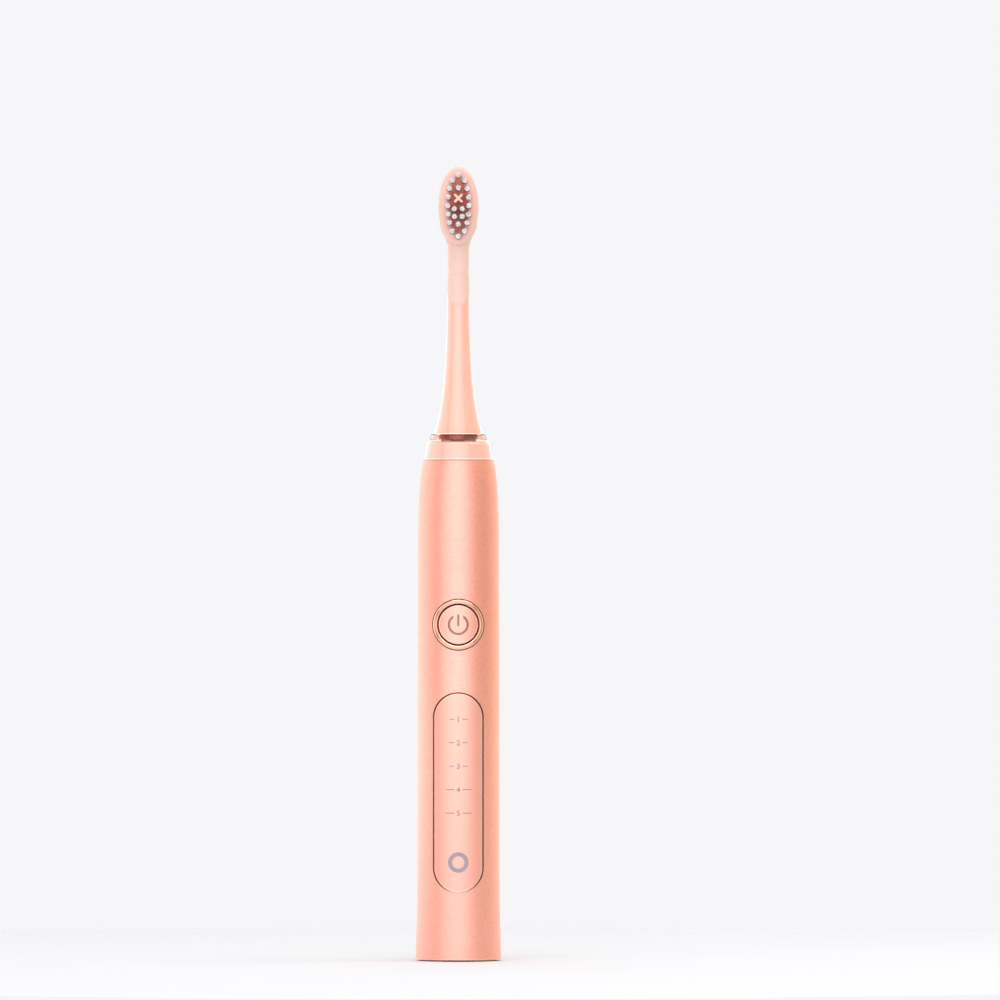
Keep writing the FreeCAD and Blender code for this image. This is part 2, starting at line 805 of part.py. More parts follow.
def wire(points, radius, bend):
    """A lead of that radius through the points, its corners rounded by tangent arcs of radius bend."""
    spots = [Vector(*p) for p in points]
    edges, last = [], spots[0]
    for a, b, c in zip(spots, spots[1:], spots[2:]):
        back, on = (a - b).normalize(), (c - b).normalize()
        turn = math.pi - back.getAngle(on)
        if turn < 0.01:  # a straight run needs no arc
            continue
        trim = bend * math.tan(0.5 * turn)
        start, end = b + back * trim, b + on * trim
        middle = b + (back + on).normalize() * (bend / math.cos(0.5 * turn) - bend)
        edges.append(Part.LineSegment(last, start).toShape())
        edges.append(Part.Arc(start, middle, end).toShape())
        last = end
    edges.append(Part.LineSegment(last, spots[-1]).toShape())
    path = Part.Wire(edges)
    ring = Part.Wire(Part.makeCircle(radius, spots[0], spots[1] - spots[0]))
    return path.makePipeShell([ring], True, False)


def make_coil_leads():
    """Two leads from the top of the charging coil to the board's lower edge."""
    start_y = -(coil_core + 0.8)
    end_y = board_back - 0.5 * board_thickness
    start_z = coil_bottom + coil_height + 0.02
    end_z = chassis_bottom + 0.4 - seat_gap
    leads = []
    for x in (-3.4, 3.4):
        bends = [(x, start_y, start_z + 1.0), (x, end_y, end_z - 1.4)]
        leads.append(wire([(x, start_y, start_z), *bends, (x, end_y, end_z)], lead_radius, 0.4))
    return group(leads)


def make_motor_leads():
    """Two leads from the board's upper edge, stepped inwards to clear the motor's can."""
    start_y = board_back - 0.5 * board_thickness
    end_y = -(can_bore - lead_inset)
    low, high = board_top + seat_gap, motor_bottom + 2.4 - seat_gap
    leads = []
    for x in (-2.0, 2.0):
        bends = [(x, start_y, low + 0.45), (x, end_y, motor_bottom - 0.25)]
        leads.append(wire([(x, start_y, low), *bends, (x, end_y, high)], lead_radius, 0.3))
    return group(leads)


# ---------------------------------------------------------------- brush head
def neck_form(z0, z1, offset=0.0):
    """The round neck between two heights, less an offset: a flare that dies away upwards."""
    count = 9
    slim = neck_radius - offset
    heights = [z0 + (z1 - z0) * i / (count - 1) for i in range(count)]
    curve = [(slim + neck_flare * math.exp(-(z - neck_bottom) / flare_length), z) for z in heights]
    return turned_spline(curve, [(0.0, z1), (0.0, z0)])


def above_cut(shift):
    """Everything above the slanted joint between sleeve and core, moved up by shift."""
    front = neck_bottom + sleeve_cut_height + shift
    slope = sleeve_cut_slope
    reach = 2 * neck_radius + 4
    a, b = -reach, reach
    at = [
        Vector(-20, a, front + slope * (a + neck_radius)),
        Vector(-20, b, front + slope * (b + neck_radius)),
        Vector(-20, b, head_z + 40),
        Vector(-20, a, head_z + 40),
    ]
    return Part.Face(Part.makePolygon(at + at[:1])).extrude(Vector(40, 0, 0))


cut_back = neck_bottom + sleeve_cut_height + 2 * sleeve_cut_slope * neck_radius


def stem_outline(grow):
    """The core's stem inside the sleeve, as (radius, z) points, grown by a clearance."""
    slim = neck_radius - sleeve_wall
    return [
        (0, neck_bottom + 0.3),
        (stem_radius + grow, neck_bottom + 0.3),
        (stem_radius + grow, neck_bottom + stem_taper_start),
        (slim + 0.45 + grow, neck_bottom + stem_taper_start + 3.0),
        (slim + grow, neck_bottom + sleeve_cut_height - 1.5),
        (slim + grow, cut_back + 0.5),
        (0, cut_back + 0.5),
    ]


def neck_loft():
    """From the round neck, flatter and wider, into the back of the head."""
    base = neck_top
    w = head_half_width
    rows = [
        (0.0, neck_radius, neck_radius, 0.0),
        (3.0, neck_radius, neck_radius - 0.12, 0.0),
        (6.5, neck_radius + 0.03, neck_radius - 0.45, -0.05),
        (9.0, neck_radius + 0.2, neck_radius - 0.6, -0.2),
        (11.0, neck_radius + 0.75, neck_radius - 0.72, -0.35),
        (12.8, 0.76 * w, neck_radius - 0.85, -0.5),
        (14.8, 0.89 * w, neck_radius - 1.0, -0.6),
        (18.0, 0.93 * w, neck_radius - 1.25, -0.6),
    ]
    wires = []
    for rise, half_x, half_y, y in rows:
        centre = Vector(0, y, base + rise)
        oval = Part.Ellipse(centre + Vector(half_x, 0, 0), centre + Vector(0, half_y, 0), centre)
        if abs(half_x - half_y) < 1e-6:
            oval = Part.Circle(centre, Vector(0, 0, 1), half_x)
        wires.append(Part.Wire(oval.toShape()))
    return Part.makeLoft(wires, True, False)


def head_rim(plate, y):
    """The oval edge of the head at that depth."""
    return [e for e in plate.Edges if abs(e.BoundBox.YMin - y) < 0.01 and abs(e.BoundBox.YMax - y) < 0.01]


def head_form():
    """The oval head: a flat bristle face with a rounded rim and a fuller, rounder back."""
    oval = Part.Ellipse(
        Vector(0, -head_front, head_z + head_half_height),
        Vector(head_half_width, -head_front, head_z),
        Vector(0, -head_front, head_z),
    )
    head = Part.Face(Part.Wire(oval.toShape())).extrude(Vector(0, head_thickness, 0))
    head = head.makeFillet(head_edge, head_rim(head, -head_front))
    return head.makeFillet(head_back_round, head_rim(head, head_thickness - head_front))


def ring_of_tufts():
    """Evenly spaced tuft places round an oval, as (x, z) from the head's centre."""
    steps = 720
    turns = [2 * math.pi * i / steps for i in range(steps + 1)]
    trace = [(ring_half_width * math.sin(t), ring_half_height * math.cos(t)) for t in turns]
    walked = [0.0]
    for (x0, z0), (x1, z1) in zip(trace, trace[1:]):
        walked.append(walked[-1] + math.hypot(x1 - x0, z1 - z0))
    pitch = walked[-1] / outer_tufts
    return [trace[next(i for i, w in enumerate(walked) if w >= n * pitch - 1e-9)] for n in range(outer_tufts)]


def tuft_places():
    return [(x, head_z + z) for x, z in ring_of_tufts() + inner_tufts]


def cross_bars(y0, y1, grow):
    """The two crossed bars of the soft polishing tuft."""
    reach = (0.5 * cross_span - 0.5 * cross_width) * math.sqrt(0.5)
    z = head_z + cross_height
    half = 0.5 * cross_width + grow
    return join([round_bar(half, -reach, z - s * reach, reach, z + s * reach, y0, y1) for s in (-1, 1)])


def make_brush_core():
    upper = neck_form(neck_bottom, neck_top).common(above_cut(seat_gap))
    stem = turned(stem_outline(0.0)).common(disc(20, 0, cut_back + 0.4))
    whole = upper.multiFuse([stem, neck_loft(), head_form()])
    socket = disc(shaft_radius + slide_gap, neck_bottom - 1, shaft_top + socket_roof)
    flat = shaft_radius - shaft_flat + clip_thickness + 2 * seat_gap
    keyed = box(-5, 5, flat, 5, flat_bottom + 1.0, shaft_top + 2)
    mouth, floor = -head_front - 1, -head_front + tuft_hole_depth
    holes = [rod_y(tuft_radius, x, z, mouth, floor) for x, z in tuft_places()]
    return whole.cut([socket.cut(keyed), *holes, cross_bars(mouth, floor, 0.0)])


def make_brush_sleeve():
    lower = neck_form(neck_bottom, neck_top).cut(above_cut(0.0))
    cavity_top = neck_bottom + stem_taper_start
    hollow = neck_form(neck_bottom - 0.5, cavity_top, sleeve_wall)
    mouth = disc(stem_radius + seat_gap, 0, neck_bottom + 1)
    return lower.cut([hollow, turned(stem_outline(seat_gap)), mouth])


def make_brush_base_ring():
    """Clear skirt under the sleeve, open inside, with a flange that the sleeve stands on."""
    top = neck_bottom - seat_gap
    return turned(
        [
            (band_bottom_radius - band_wall, band_bottom),
            (band_bottom_radius, band_bottom),
            (band_top_radius, top),
            (id_band_radius + slide_gap, top),
            (id_band_radius + slide_gap, top - band_flange),
            (band_top_radius - band_wall, top - band_flange),
        ]
    )


def make_brush_id_band():
    """Coloured band inside the clear skirt, hung from the sleeve's bore."""
    inner = id_band_radius - id_band_thickness
    seat = neck_bottom + seat_gap
    lip = neck_radius + neck_flare - sleeve_wall - 0.25
    return turned(
        [
            (inner, band_bottom + 0.2),
            (id_band_radius, band_bottom + 0.2),
            (id_band_radius, seat),
            (lip, seat),
            (lip, seat + 0.5),
            (inner, seat + 0.5),
        ]
    )


def make_shaft_clip():
    y = shaft_radius - shaft_flat + seat_gap
    high = shaft_top - 1.2
    leaf = box(-0.5 * clip_width, 0.5 * clip_width, y, y + clip_thickness, high - clip_length, high)
    return leaf.common(disc(shaft_radius + 0.5 * slide_gap, 0, shaft_top))


def make_bristle_tufts():
    top = -head_front + tuft_hole_depth - anchor_height - 0.05
    return group([rod_y(tuft_radius - 0.01, x, z, -head_front - tuft_length, top) for x, z in tuft_places()])


def make_tuft_anchors():
    floor = -head_front + tuft_hole_depth
    wide = tuft_radius - 0.05
    thick = 0.5 * anchor_thickness
    back = floor - 0.01
    front = floor - anchor_height
    return group([box(x - wide, x + wide, front, back, z - thick, z + thick) for x, z in tuft_places()])


def make_cross_tuft():
    return cross_bars(-head_front - cross_length, -head_front + tuft_hole_depth - 0.02, -0.01)


# ---------------------------------------------------------------- write the nodes
NODES = {
    "body_tube": make_body_tube,
    "top_collar": make_top_collar,
    "collar_o_ring": make_collar_o_ring,
    "shaft_seal": make_shaft_seal,
    "button_bezel": make_button_bezel,
    "power_button": make_power_button,
    "button_boot": make_button_boot,
    "tact_switch": make_tact_switch,
    "switch_plunger": make_switch_plunger,
    "mode_panel": make_mode_panel,
    "mode_marks": make_mode_marks,
    "battery_light_ring": make_light_ring,
    "light_shroud": make_light_shroud,
    "indicator_lamps": make_indicator_lamps,
    "control_board": make_control_board,
    "board_components": make_board_components,
    "board_screws": make_board_screws,
    "battery_cell": make_battery_cell,
    "battery_sleeve": make_battery_sleeve,
    "battery_tabs": make_battery_tabs,
    "battery_pads": make_battery_pads,
    "chassis": make_chassis,
    "spring_anchor": make_spring_anchor,
    "torsion_bar": make_torsion_bar,
    "drive_shaft": make_drive_shaft,
    "rotor_hub": make_rotor_hub,
    "rotor_magnets": make_rotor_magnets,
    "stator_core": make_stator_core,
    "stator_coils": make_stator_coils,
    "motor_can": make_motor_can,
    "motor_rear_cap": make_motor_rear_cap,
    "motor_front_cap": make_motor_front_cap,
    "front_bearing": make_front_bearing,
    "rear_bearing": make_rear_bearing,
    "motor_dampers": make_motor_dampers,
    "base_cap": make_base_cap,
    "base_feet": make_base_feet,
    "base_o_ring": make_base_o_ring,
    "coil_bobbin": make_coil_bobbin,
    "charging_coil": make_charging_coil,
    "coil_leads": make_coil_leads,
    "motor_leads": make_motor_leads,
    "brush_core": make_brush_core,
    "brush_sleeve": make_brush_sleeve,
    "brush_base_ring": make_brush_base_ring,
    "brush_id_band": make_brush_id_band,
    "shaft_clip": make_shaft_clip,
    "bristle_tufts": make_bristle_tufts,
    "tuft_anchors": make_tuft_anchors,
    "cross_tuft": make_cross_tuft,
}

os.makedirs("parts", exist_ok=True)
for name, make in NODES.items():
    shape = make()
    shape.exportStep(os.path.join("parts", name + ".step"))
    print(f"{name}: {len(shape.Solids)} solid(s), {shape.Volume:.1f} mm3, valid {shape.isValid()}")
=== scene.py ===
import json
import logging
import math
from dataclasses import dataclass
from enum import Enum
from functools import cached_property, partial
from typing import Any, ClassVar, Iterable, Sequence

import bmesh
import bpy
from mathutils import Matrix, Vector
from mathutils.bvhtree import BVHTree


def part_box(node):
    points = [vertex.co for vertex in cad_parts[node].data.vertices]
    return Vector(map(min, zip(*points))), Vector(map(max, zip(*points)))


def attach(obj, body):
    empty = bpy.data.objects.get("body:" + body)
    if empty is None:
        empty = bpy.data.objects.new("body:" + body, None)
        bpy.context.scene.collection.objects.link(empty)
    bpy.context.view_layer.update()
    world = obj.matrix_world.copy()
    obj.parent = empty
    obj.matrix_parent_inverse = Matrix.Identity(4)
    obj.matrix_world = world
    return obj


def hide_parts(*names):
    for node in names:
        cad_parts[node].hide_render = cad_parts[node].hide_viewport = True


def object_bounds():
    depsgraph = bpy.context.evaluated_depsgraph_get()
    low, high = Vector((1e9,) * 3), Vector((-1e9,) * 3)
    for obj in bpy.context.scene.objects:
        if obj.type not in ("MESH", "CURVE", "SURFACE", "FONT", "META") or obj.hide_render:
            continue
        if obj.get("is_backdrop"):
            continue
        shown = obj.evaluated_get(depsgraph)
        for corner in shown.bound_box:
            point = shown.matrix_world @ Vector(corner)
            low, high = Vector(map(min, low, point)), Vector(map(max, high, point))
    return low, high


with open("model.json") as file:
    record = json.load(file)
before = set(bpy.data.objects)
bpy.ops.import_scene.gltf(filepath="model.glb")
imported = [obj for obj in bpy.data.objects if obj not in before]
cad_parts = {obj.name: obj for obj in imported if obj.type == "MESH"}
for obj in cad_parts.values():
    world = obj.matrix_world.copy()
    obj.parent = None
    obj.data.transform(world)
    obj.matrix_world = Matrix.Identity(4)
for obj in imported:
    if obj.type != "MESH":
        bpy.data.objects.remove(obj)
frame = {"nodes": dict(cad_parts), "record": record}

"""Looks of a rechargeable sonic toothbrush: a rose-gold metal handle and its pull-off brush head.

Metres, +Z up along the handle's axis, bristles and button facing -Y. Sizes written in
millimetres are named so and go through the constant MM.
"""

MM = 0.001
WELD_MM = 0.001  # points nearer than this are one
NOISE_RANGE = (0.3, 0.7)  # where most of a noise texture's values lie
QUARTER = 0.5 * math.pi
MATH = "ShaderNodeMath"
VECTOR_MATH = "ShaderNodeVectorMath"
COMBINE = "ShaderNodeCombineXYZ"
SEPARATE = "ShaderNodeSeparateXYZ"
MAP_RANGE = "ShaderNodeMapRange"
NOISE = "ShaderNodeTexNoise"
MIX = "ShaderNodeMix"
RANDOM = "FunctionNodeRandomValue"
Source = bpy.types.NodeSocket | bpy.types.Node
log = logging.getLogger("toothbrush")


# ---------------- colour and node helpers
def linear(hex_colour: str) -> tuple[float, float, float, float]:
    """Turn an sRGB colour, "#rrggbb", into the linear light that Blender's sockets take."""
    channels = [int(hex_colour[i : i + 2], 16) / 255 for i in (1, 3, 5)]
    red, green, blue = (c / 12.92 if c <= 0.04045 else ((c + 0.055) / 1.055) ** 2.4 for c in channels)
    return red, green, blue, 1.0


def add(
    tree: bpy.types.NodeTree, kind: str, inputs: dict | Sequence = (), operation: str = "", **settings: Any
) -> bpy.types.Node:
    """Add a node with its settings and links.

    Args:
        tree: The node tree that gets the node.
        kind: The node's type name.
        inputs: By name or place, or in order from the first: a value, a hex colour, a socket to
            link from, or a node that is linked from its first output in use.
        operation: What an arithmetic node does.
        **settings: The node's other properties.

    Returns:
        The new node.
    """
    node = tree.nodes.new(kind)
    if operation:
        node.operation = operation
    for key, value in settings.items():
        setattr(node, key, value)
    for key, value in inputs.items() if isinstance(inputs, dict) else enumerate(inputs):
        if isinstance(value, bpy.types.Node):
            value = next(output for output in value.outputs if output.enabled)
        if isinstance(value, bpy.types.NodeSocket):
            tree.links.new(value, node.inputs[key])
        else:
            colour = isinstance(value, str) and value.startswith("#")
            node.inputs[key].default_value = linear(value) if colour else value
    return node


def ramp(node: bpy.types.Node, stops: Sequence[tuple[float, Sequence[float]]]) -> bpy.types.Node:
    """Set the stops of a colour ramp.

    Args:
        node: A Color Ramp node.
        stops: Pairs of place and linear colour.

    Returns:
        The same node.
    """
    elements = node.color_ramp.elements
    while len(elements) < len(stops):
        elements.new(1.0)
    for element, (place, colour) in zip(elements, stops):
        element.position = place
        element.color = colour
    return node


@dataclass(frozen=True)
class Surface:
    """A material's node tree, and the Object coordinates that its patterns and limits follow."""

    tree: bpy.types.NodeTree
    place: Source

    @cached_property
    def axes(self) -> Any:
        """The place's three coordinates, by name."""
        return add(self.tree, SEPARATE, [self.place]).outputs

    @cached_property
    def radius(self) -> Source:
        """Distance from the handle's axis."""
        return self.reach((0.0, 0.0, 0.0), (1.0, 1.0, 0.0))

    def reach(self, centre_mm: Sequence[float], keep: Sequence[float]) -> Source:
        """Distance from a point, with each axis scaled: 0 leaves that axis out.

        Args:
            centre_mm: The point.
            keep: The scale of each axis.

        Returns:
            What carries the distance, in metres where the scales are 1.
        """
        put = partial(add, self.tree, VECTOR_MATH)
        moved = put([self.place, tuple(c * MM for c in centre_mm)], "SUBTRACT")
        return put([put([moved, tuple(keep)], "MULTIPLY")], "LENGTH")

    def patches(
        self, size_mm: float, low: float, high: float, detail: float = 2.0, keep: Sequence[float] = ()
    ) -> Source:
        """Levels that wander in soft patches.

        Args:
            size_mm: The patches' size.
            low: The lowest level.
            high: The highest level.
            detail: How many finer layers of noise there are.
            keep: The scale of each axis, where the patches are drawn out.

        Returns:
            What carries the level.
        """
        place = self.place
        if keep:
            place = add(self.tree, "ShaderNodeMapping", {"Vector": place, "Scale": keep})
        noise = add(self.tree, NOISE, {"Vector": place, "Scale": 1 / (size_mm * MM), "Detail": detail})
        least, most = NOISE_RANGE
        inputs = {"Value": noise, "From Min": least, "From Max": most, "To Min": low, "To Max": high}
        return add(self.tree, MAP_RANGE, inputs)

    def speckled(self, colour: Any, size_mm: float, low: float, high: float, detail: float = 2.0) -> Source:
        """A colour multiplied by levels that wander from low to high in soft patches of a size."""
        inputs = {"Factor": 1.0, 6: colour, 7: self.patches(size_mm, low, high, detail)}
        return add(self.tree, MIX, inputs, data_type="RGBA", blend_type="MULTIPLY")

    def paint(self, under: Any, over: Any, *limits: tuple[Source, float, float]) -> Source:
        """Lay one colour over another where every limit is passed.

        Args:
            under: The colour below.
            over: The colour on top.
            *limits: Each a length and, in millimetres, where the top colour starts and is full.

        Returns:
            What carries the colour.
        """
        mask: Any = None
        for length, start, full in limits:
            inputs = {"Value": length, "From Min": start * MM, "From Max": full * MM}
            passed = add(self.tree, MAP_RANGE, inputs)
            mask = add(self.tree, MATH, [mask, passed], "MULTIPLY") if mask else passed
        return add(self.tree, MIX, {"Factor": mask, 6: under, 7: over}, data_type="RGBA")


# ---------------- finishes
class Gauge(Enum):
    """What a layer's limit measures: a place along an axis, or a distance."""

    FRONT = "Y"
    HEIGHT = "Z"
    RADIUS = "from the handle's axis"
    OUT = "from the layer's centre, seen from the front"


FRONT, HEIGHT, RADIUS, OUT = Gauge


@dataclass(frozen=True)
class Layer:
    """A colour that lies over the ones below where all its limits are passed.

    Each limit says what is measured and, in millimetres, where the layer starts and where it is
    full. Distances out are shares of half_axes_mm where those are given.
    """

    colour: str
    limits: tuple[tuple[Gauge, float, float], ...]
    centre_mm: tuple[float, float, float] = (0.0, 0.0, 105.9)  # the power button's, unless given
    half_axes_mm: tuple[float, float] = (1.0, 1.0)

    def laid(self, surface: Surface, under: Source) -> Source:
        """The colour below with this layer on it.

        Args:
            surface: The material's surface.
            under: What carries the colour below.

        Returns:
            What carries the colour.
        """
        across, up = self.half_axes_mm
        limits = []
        for gauge, start, full in self.limits:
            if gauge is OUT:
                length = surface.reach(self.centre_mm, (1 / across, 0.0, 1 / up))
            else:
                length = surface.radius if gauge is RADIUS else surface.axes[gauge.value]
            limits.append((length, start, full))
        return surface.paint(under, self.colour, *limits)


@dataclass(frozen=True)
class Finish:
    """A finish: a base material with a fine surface grain, slight mottling and layers over it.

    The grain is a bump of grain_mm spacing and relief_mm height. Mottling darkens the colour by
    up to that share over patches of mottle_mm.
    """

    name: str
    colour: str
    metallic: float = 0.0
    roughness: float = 0.45
    roughness_spread: float = 0.05
    ior: float = 1.5
    grain_mm: float = 0.3
    relief_mm: float = 0.004
    mottle: float = 0.04
    mottle_mm: float = 6.0
    coat: float = 0.0
    coat_roughness: float = 0.08
    subsurface: float = 0.0
    subsurface_mm: float = 1.0
    transmission: float = 0.0
    sheen: float = 0.0
    layers: tuple[Layer, ...] = ()

    SCATTER: ClassVar[tuple[float, float, float]] = (1.0, 0.5, 0.35)  # red travels furthest
    GLOSS_PATCH: ClassVar[float] = 1 / 1.7  # a patch of even gloss, as a share of a mottling patch

    def material(self) -> bpy.types.Material:
        """Build the material, with its uniform numbers on the shader's own sockets."""
        made = bpy.data.materials.new(self.name)
        made.use_nodes = True
        tree = made.node_tree
        tree.nodes.clear()
        surface = Surface(tree, add(tree, "ShaderNodeTexCoord").outputs["Object"])
        sockets = {
            "Metallic": self.metallic,
            "Coat Weight": self.coat,
            "Coat Roughness": self.coat_roughness,
            "Subsurface Weight": self.subsurface,
            "Subsurface Scale": self.subsurface_mm * MM,
            "Subsurface Radius": self.SCATTER,
            "Transmission Weight": self.transmission,
            "Sheen Weight": self.sheen,
            "Base Color": self.tint(surface),
            "Roughness": self.gloss(surface),
            "Normal": self.relief(surface),
        }
        if not self.metallic:
            sockets["IOR"] = self.ior
        shader = add(tree, "ShaderNodeBsdfPrincipled", sockets)
        add(tree, "ShaderNodeOutputMaterial", {"Surface": shader})
        return made

    def tint(self, surface: Surface) -> Source:
        """The base colour under its layers."""
        colour = self.base(surface)
        for layer in self.layers:
            colour = layer.laid(surface, colour)
        return colour

    def base(self, surface: Surface) -> Source:
        """The base colour, mottled a little."""
        return self.mottled(surface, self.colour)

    def mottled(self, surface: Surface, colour: Any) -> Source:
        """A colour darkened in soft patches."""
        return surface.speckled(colour, self.mottle_mm, 1 - self.mottle, 1.0, detail=3.0)

    def gloss(self, surface: Surface) -> Source:
        """Roughness that wanders a little over the surface."""
        low, high = self.gloss_range
        return surface.patches(self.mottle_mm * self.GLOSS_PATCH, low, high)

    @property
    def gloss_range(self) -> tuple[float, float]:
        """The lowest and the highest roughness."""
        return max(0.0, self.roughness - self.roughness_spread), self.roughness + self.roughness_spread

    def relief(self, surface: Surface) -> Source:
        """The grain as a bumped normal."""
        scale = 1 / (self.grain_mm * MM)
        grain = add(surface.tree, NOISE, {"Vector": surface.place, "Scale": scale, "Detail": 2.0})
        inputs = {"Height": grain, "Distance": self.relief_mm * MM, "Strength": 1.0}
        return add(surface.tree, "ShaderNodeBump", inputs)


@dataclass(frozen=True)
class BlastedAluminium(Finish):
    """Aluminium, bead blasted and anodised, a little paler towards the foot."""

    low: str = "#ffb29e"
    low_mm: tuple[float, float] = (115.0, 60.0)  # where that colour starts and where it is full
    fleck_mm: float = 0.7  # the beads leave pits near 0.1 mm, drawn coarser so that they show
    fleck_share: float = 0.07

    def base(self, surface: Surface) -> Source:
        """The anodised colour with a fine glitter of pits.

        Args:
            surface: The material's surface.

        Returns:
            What carries the colour.
        """
        tone = surface.paint(self.colour, self.low, (surface.axes["Z"], *self.low_mm))
        share = self.fleck_share
        return surface.speckled(self.mottled(surface, tone), self.fleck_mm, 1 - share, 1 + share)


@dataclass(frozen=True)
class PanelLacquer(Finish):
    """Satin metallic lacquer on an upright panel with round ends, with a painted highlight along its edge."""

    middle_mm: float = 53.1
    half_straight_mm: float = 23.6
    # painted highlight: the pale line along the panel's outline, and how far out it lies
    edge: str = "#ffd6c4"
    edge_highlight_mm: tuple[float, float] = (7.3, 7.36)  # out from the panel's middle line

    def base(self, surface: Surface) -> Source:
        """The lacquer's colour, with a painted highlight: a pale line along the panel's outline.

        Args:
            surface: The material's surface.

        Returns:
            What carries the colour.
        """
        put, axes = partial(add, surface.tree), surface.axes
        rise = put(MATH, [axes["Z"], self.middle_mm * MM], "SUBTRACT")
        away = put(MATH, [rise], "ABSOLUTE")
        past = put(MATH, [away, self.half_straight_mm * MM], "SUBTRACT")
        spot = put(COMBINE, {"X": axes["X"], "Z": put(MATH, [past, 0.0], "MAXIMUM")})
        out = put(VECTOR_MATH, [spot], "LENGTH")
        return surface.paint(self.mottled(surface, self.colour), self.edge, (out, *self.edge_highlight_mm))


@dataclass(frozen=True)
class NylonFilament(Finish):
    """Extruded nylon, whose filaments at the middle of each tuft are greyer as painted shade.

    The "from_axis" attribute tells how far out in its tuft a filament stands, as a share.
    """

    # painted shade: the greyer colour of the middle filaments, and how far out it reaches
    middle_shade: str = "#d6c8c6"
    middle_shade_share: float = 0.2

    def base(self, surface: Surface) -> Source:
        """The nylon's colour, and a greyer painted shade at the middle of the tuft.

        Args:
            surface: The material's surface.

        Returns:
            What carries the colour.
        """
        put = partial(add, surface.tree)
        share = put("ShaderNodeAttribute", attribute_name="from_axis").outputs["Fac"]
        middle = put(MATH, [share, self.middle_shade_share], "LESS_THAN")
        return put(MIX, {"Factor": middle, 6: self.colour, 7: self.middle_shade}, data_type="RGBA")


@dataclass(frozen=True)
class WoundWire(Finish):
    """Enamelled copper wire wound round the axis: its turns show as rings one wire apart."""

    relief_mm: float = 0.06
    pitch_mm: float = 0.35
    wander: float = 0.3

    PERIOD: ClassVar[float] = math.pi / 10  # of the wave texture at scale 1

    def relief(self, surface: Surface) -> Source:
        """Rounded ridges one wire apart.

        Args:
            surface: The material's surface.

        Returns:
            What carries the normal.
        """
        put = partial(add, surface.tree)
        scale = self.PERIOD / (self.pitch_mm * MM)
        inputs = {"Vector": surface.place, "Scale": scale, "Distortion": self.wander}
        height = put("ShaderNodeTexWave", inputs, bands_direction="Z").outputs["Fac"]
        return put("ShaderNodeBump", {"Height": height, "Distance": self.relief_mm * MM, "Strength": 1.0})


@dataclass(frozen=True)
class TurnedMetal(Finish):
    """Metal turned or ground on a lathe: fine rings along the axis catch the light as bands."""

    ring_mm: float = 0.25  # real tool marks are near 0.05 mm, drawn coarser so that they show
    run_out: float = 0.02  # change round the axis, as a share of that along it

    def gloss(self, surface: Surface) -> Source:
        """Roughness that changes from ring to ring."""
        low, high = self.gloss_range
        return surface.patches(self.ring_mm, low, high, detail=3.0, keep=(self.run_out, self.run_out, 1.0))


@dataclass(frozen=True)
class SolderMask(Finish):
    """Glass laminate under green solder mask, with lighter copper tracks showing through."""

    track: str = "#2f7f4e"
    track_mm: float = 1.3
    track_edge: tuple[float, float] = (0.42, 0.47)
    disorder: float = 0.4

    def base(self, surface: Surface) -> Source:
        """Green, with lighter tracks that run up and across.

        Args:
            surface: The material's surface.

        Returns:
            What carries the colour.
        """
        put = partial(add, surface.tree)
        inputs = {"Vector": surface.place, "Scale": 1 / (self.track_mm * MM), "Randomness": self.disorder}
        cells = put("ShaderNodeTexVoronoi", inputs, feature="F1", distance="CHEBYCHEV")
        stops = list(zip(self.track_edge, (linear("#000000"), linear("#ffffff"))))
        tracks = ramp(put("ShaderNodeValToRGB", {"Fac": cells}), stops)
        return put(MIX, {"Factor": tracks, 6: self.colour, 7: self.track}, data_type="RGBA")


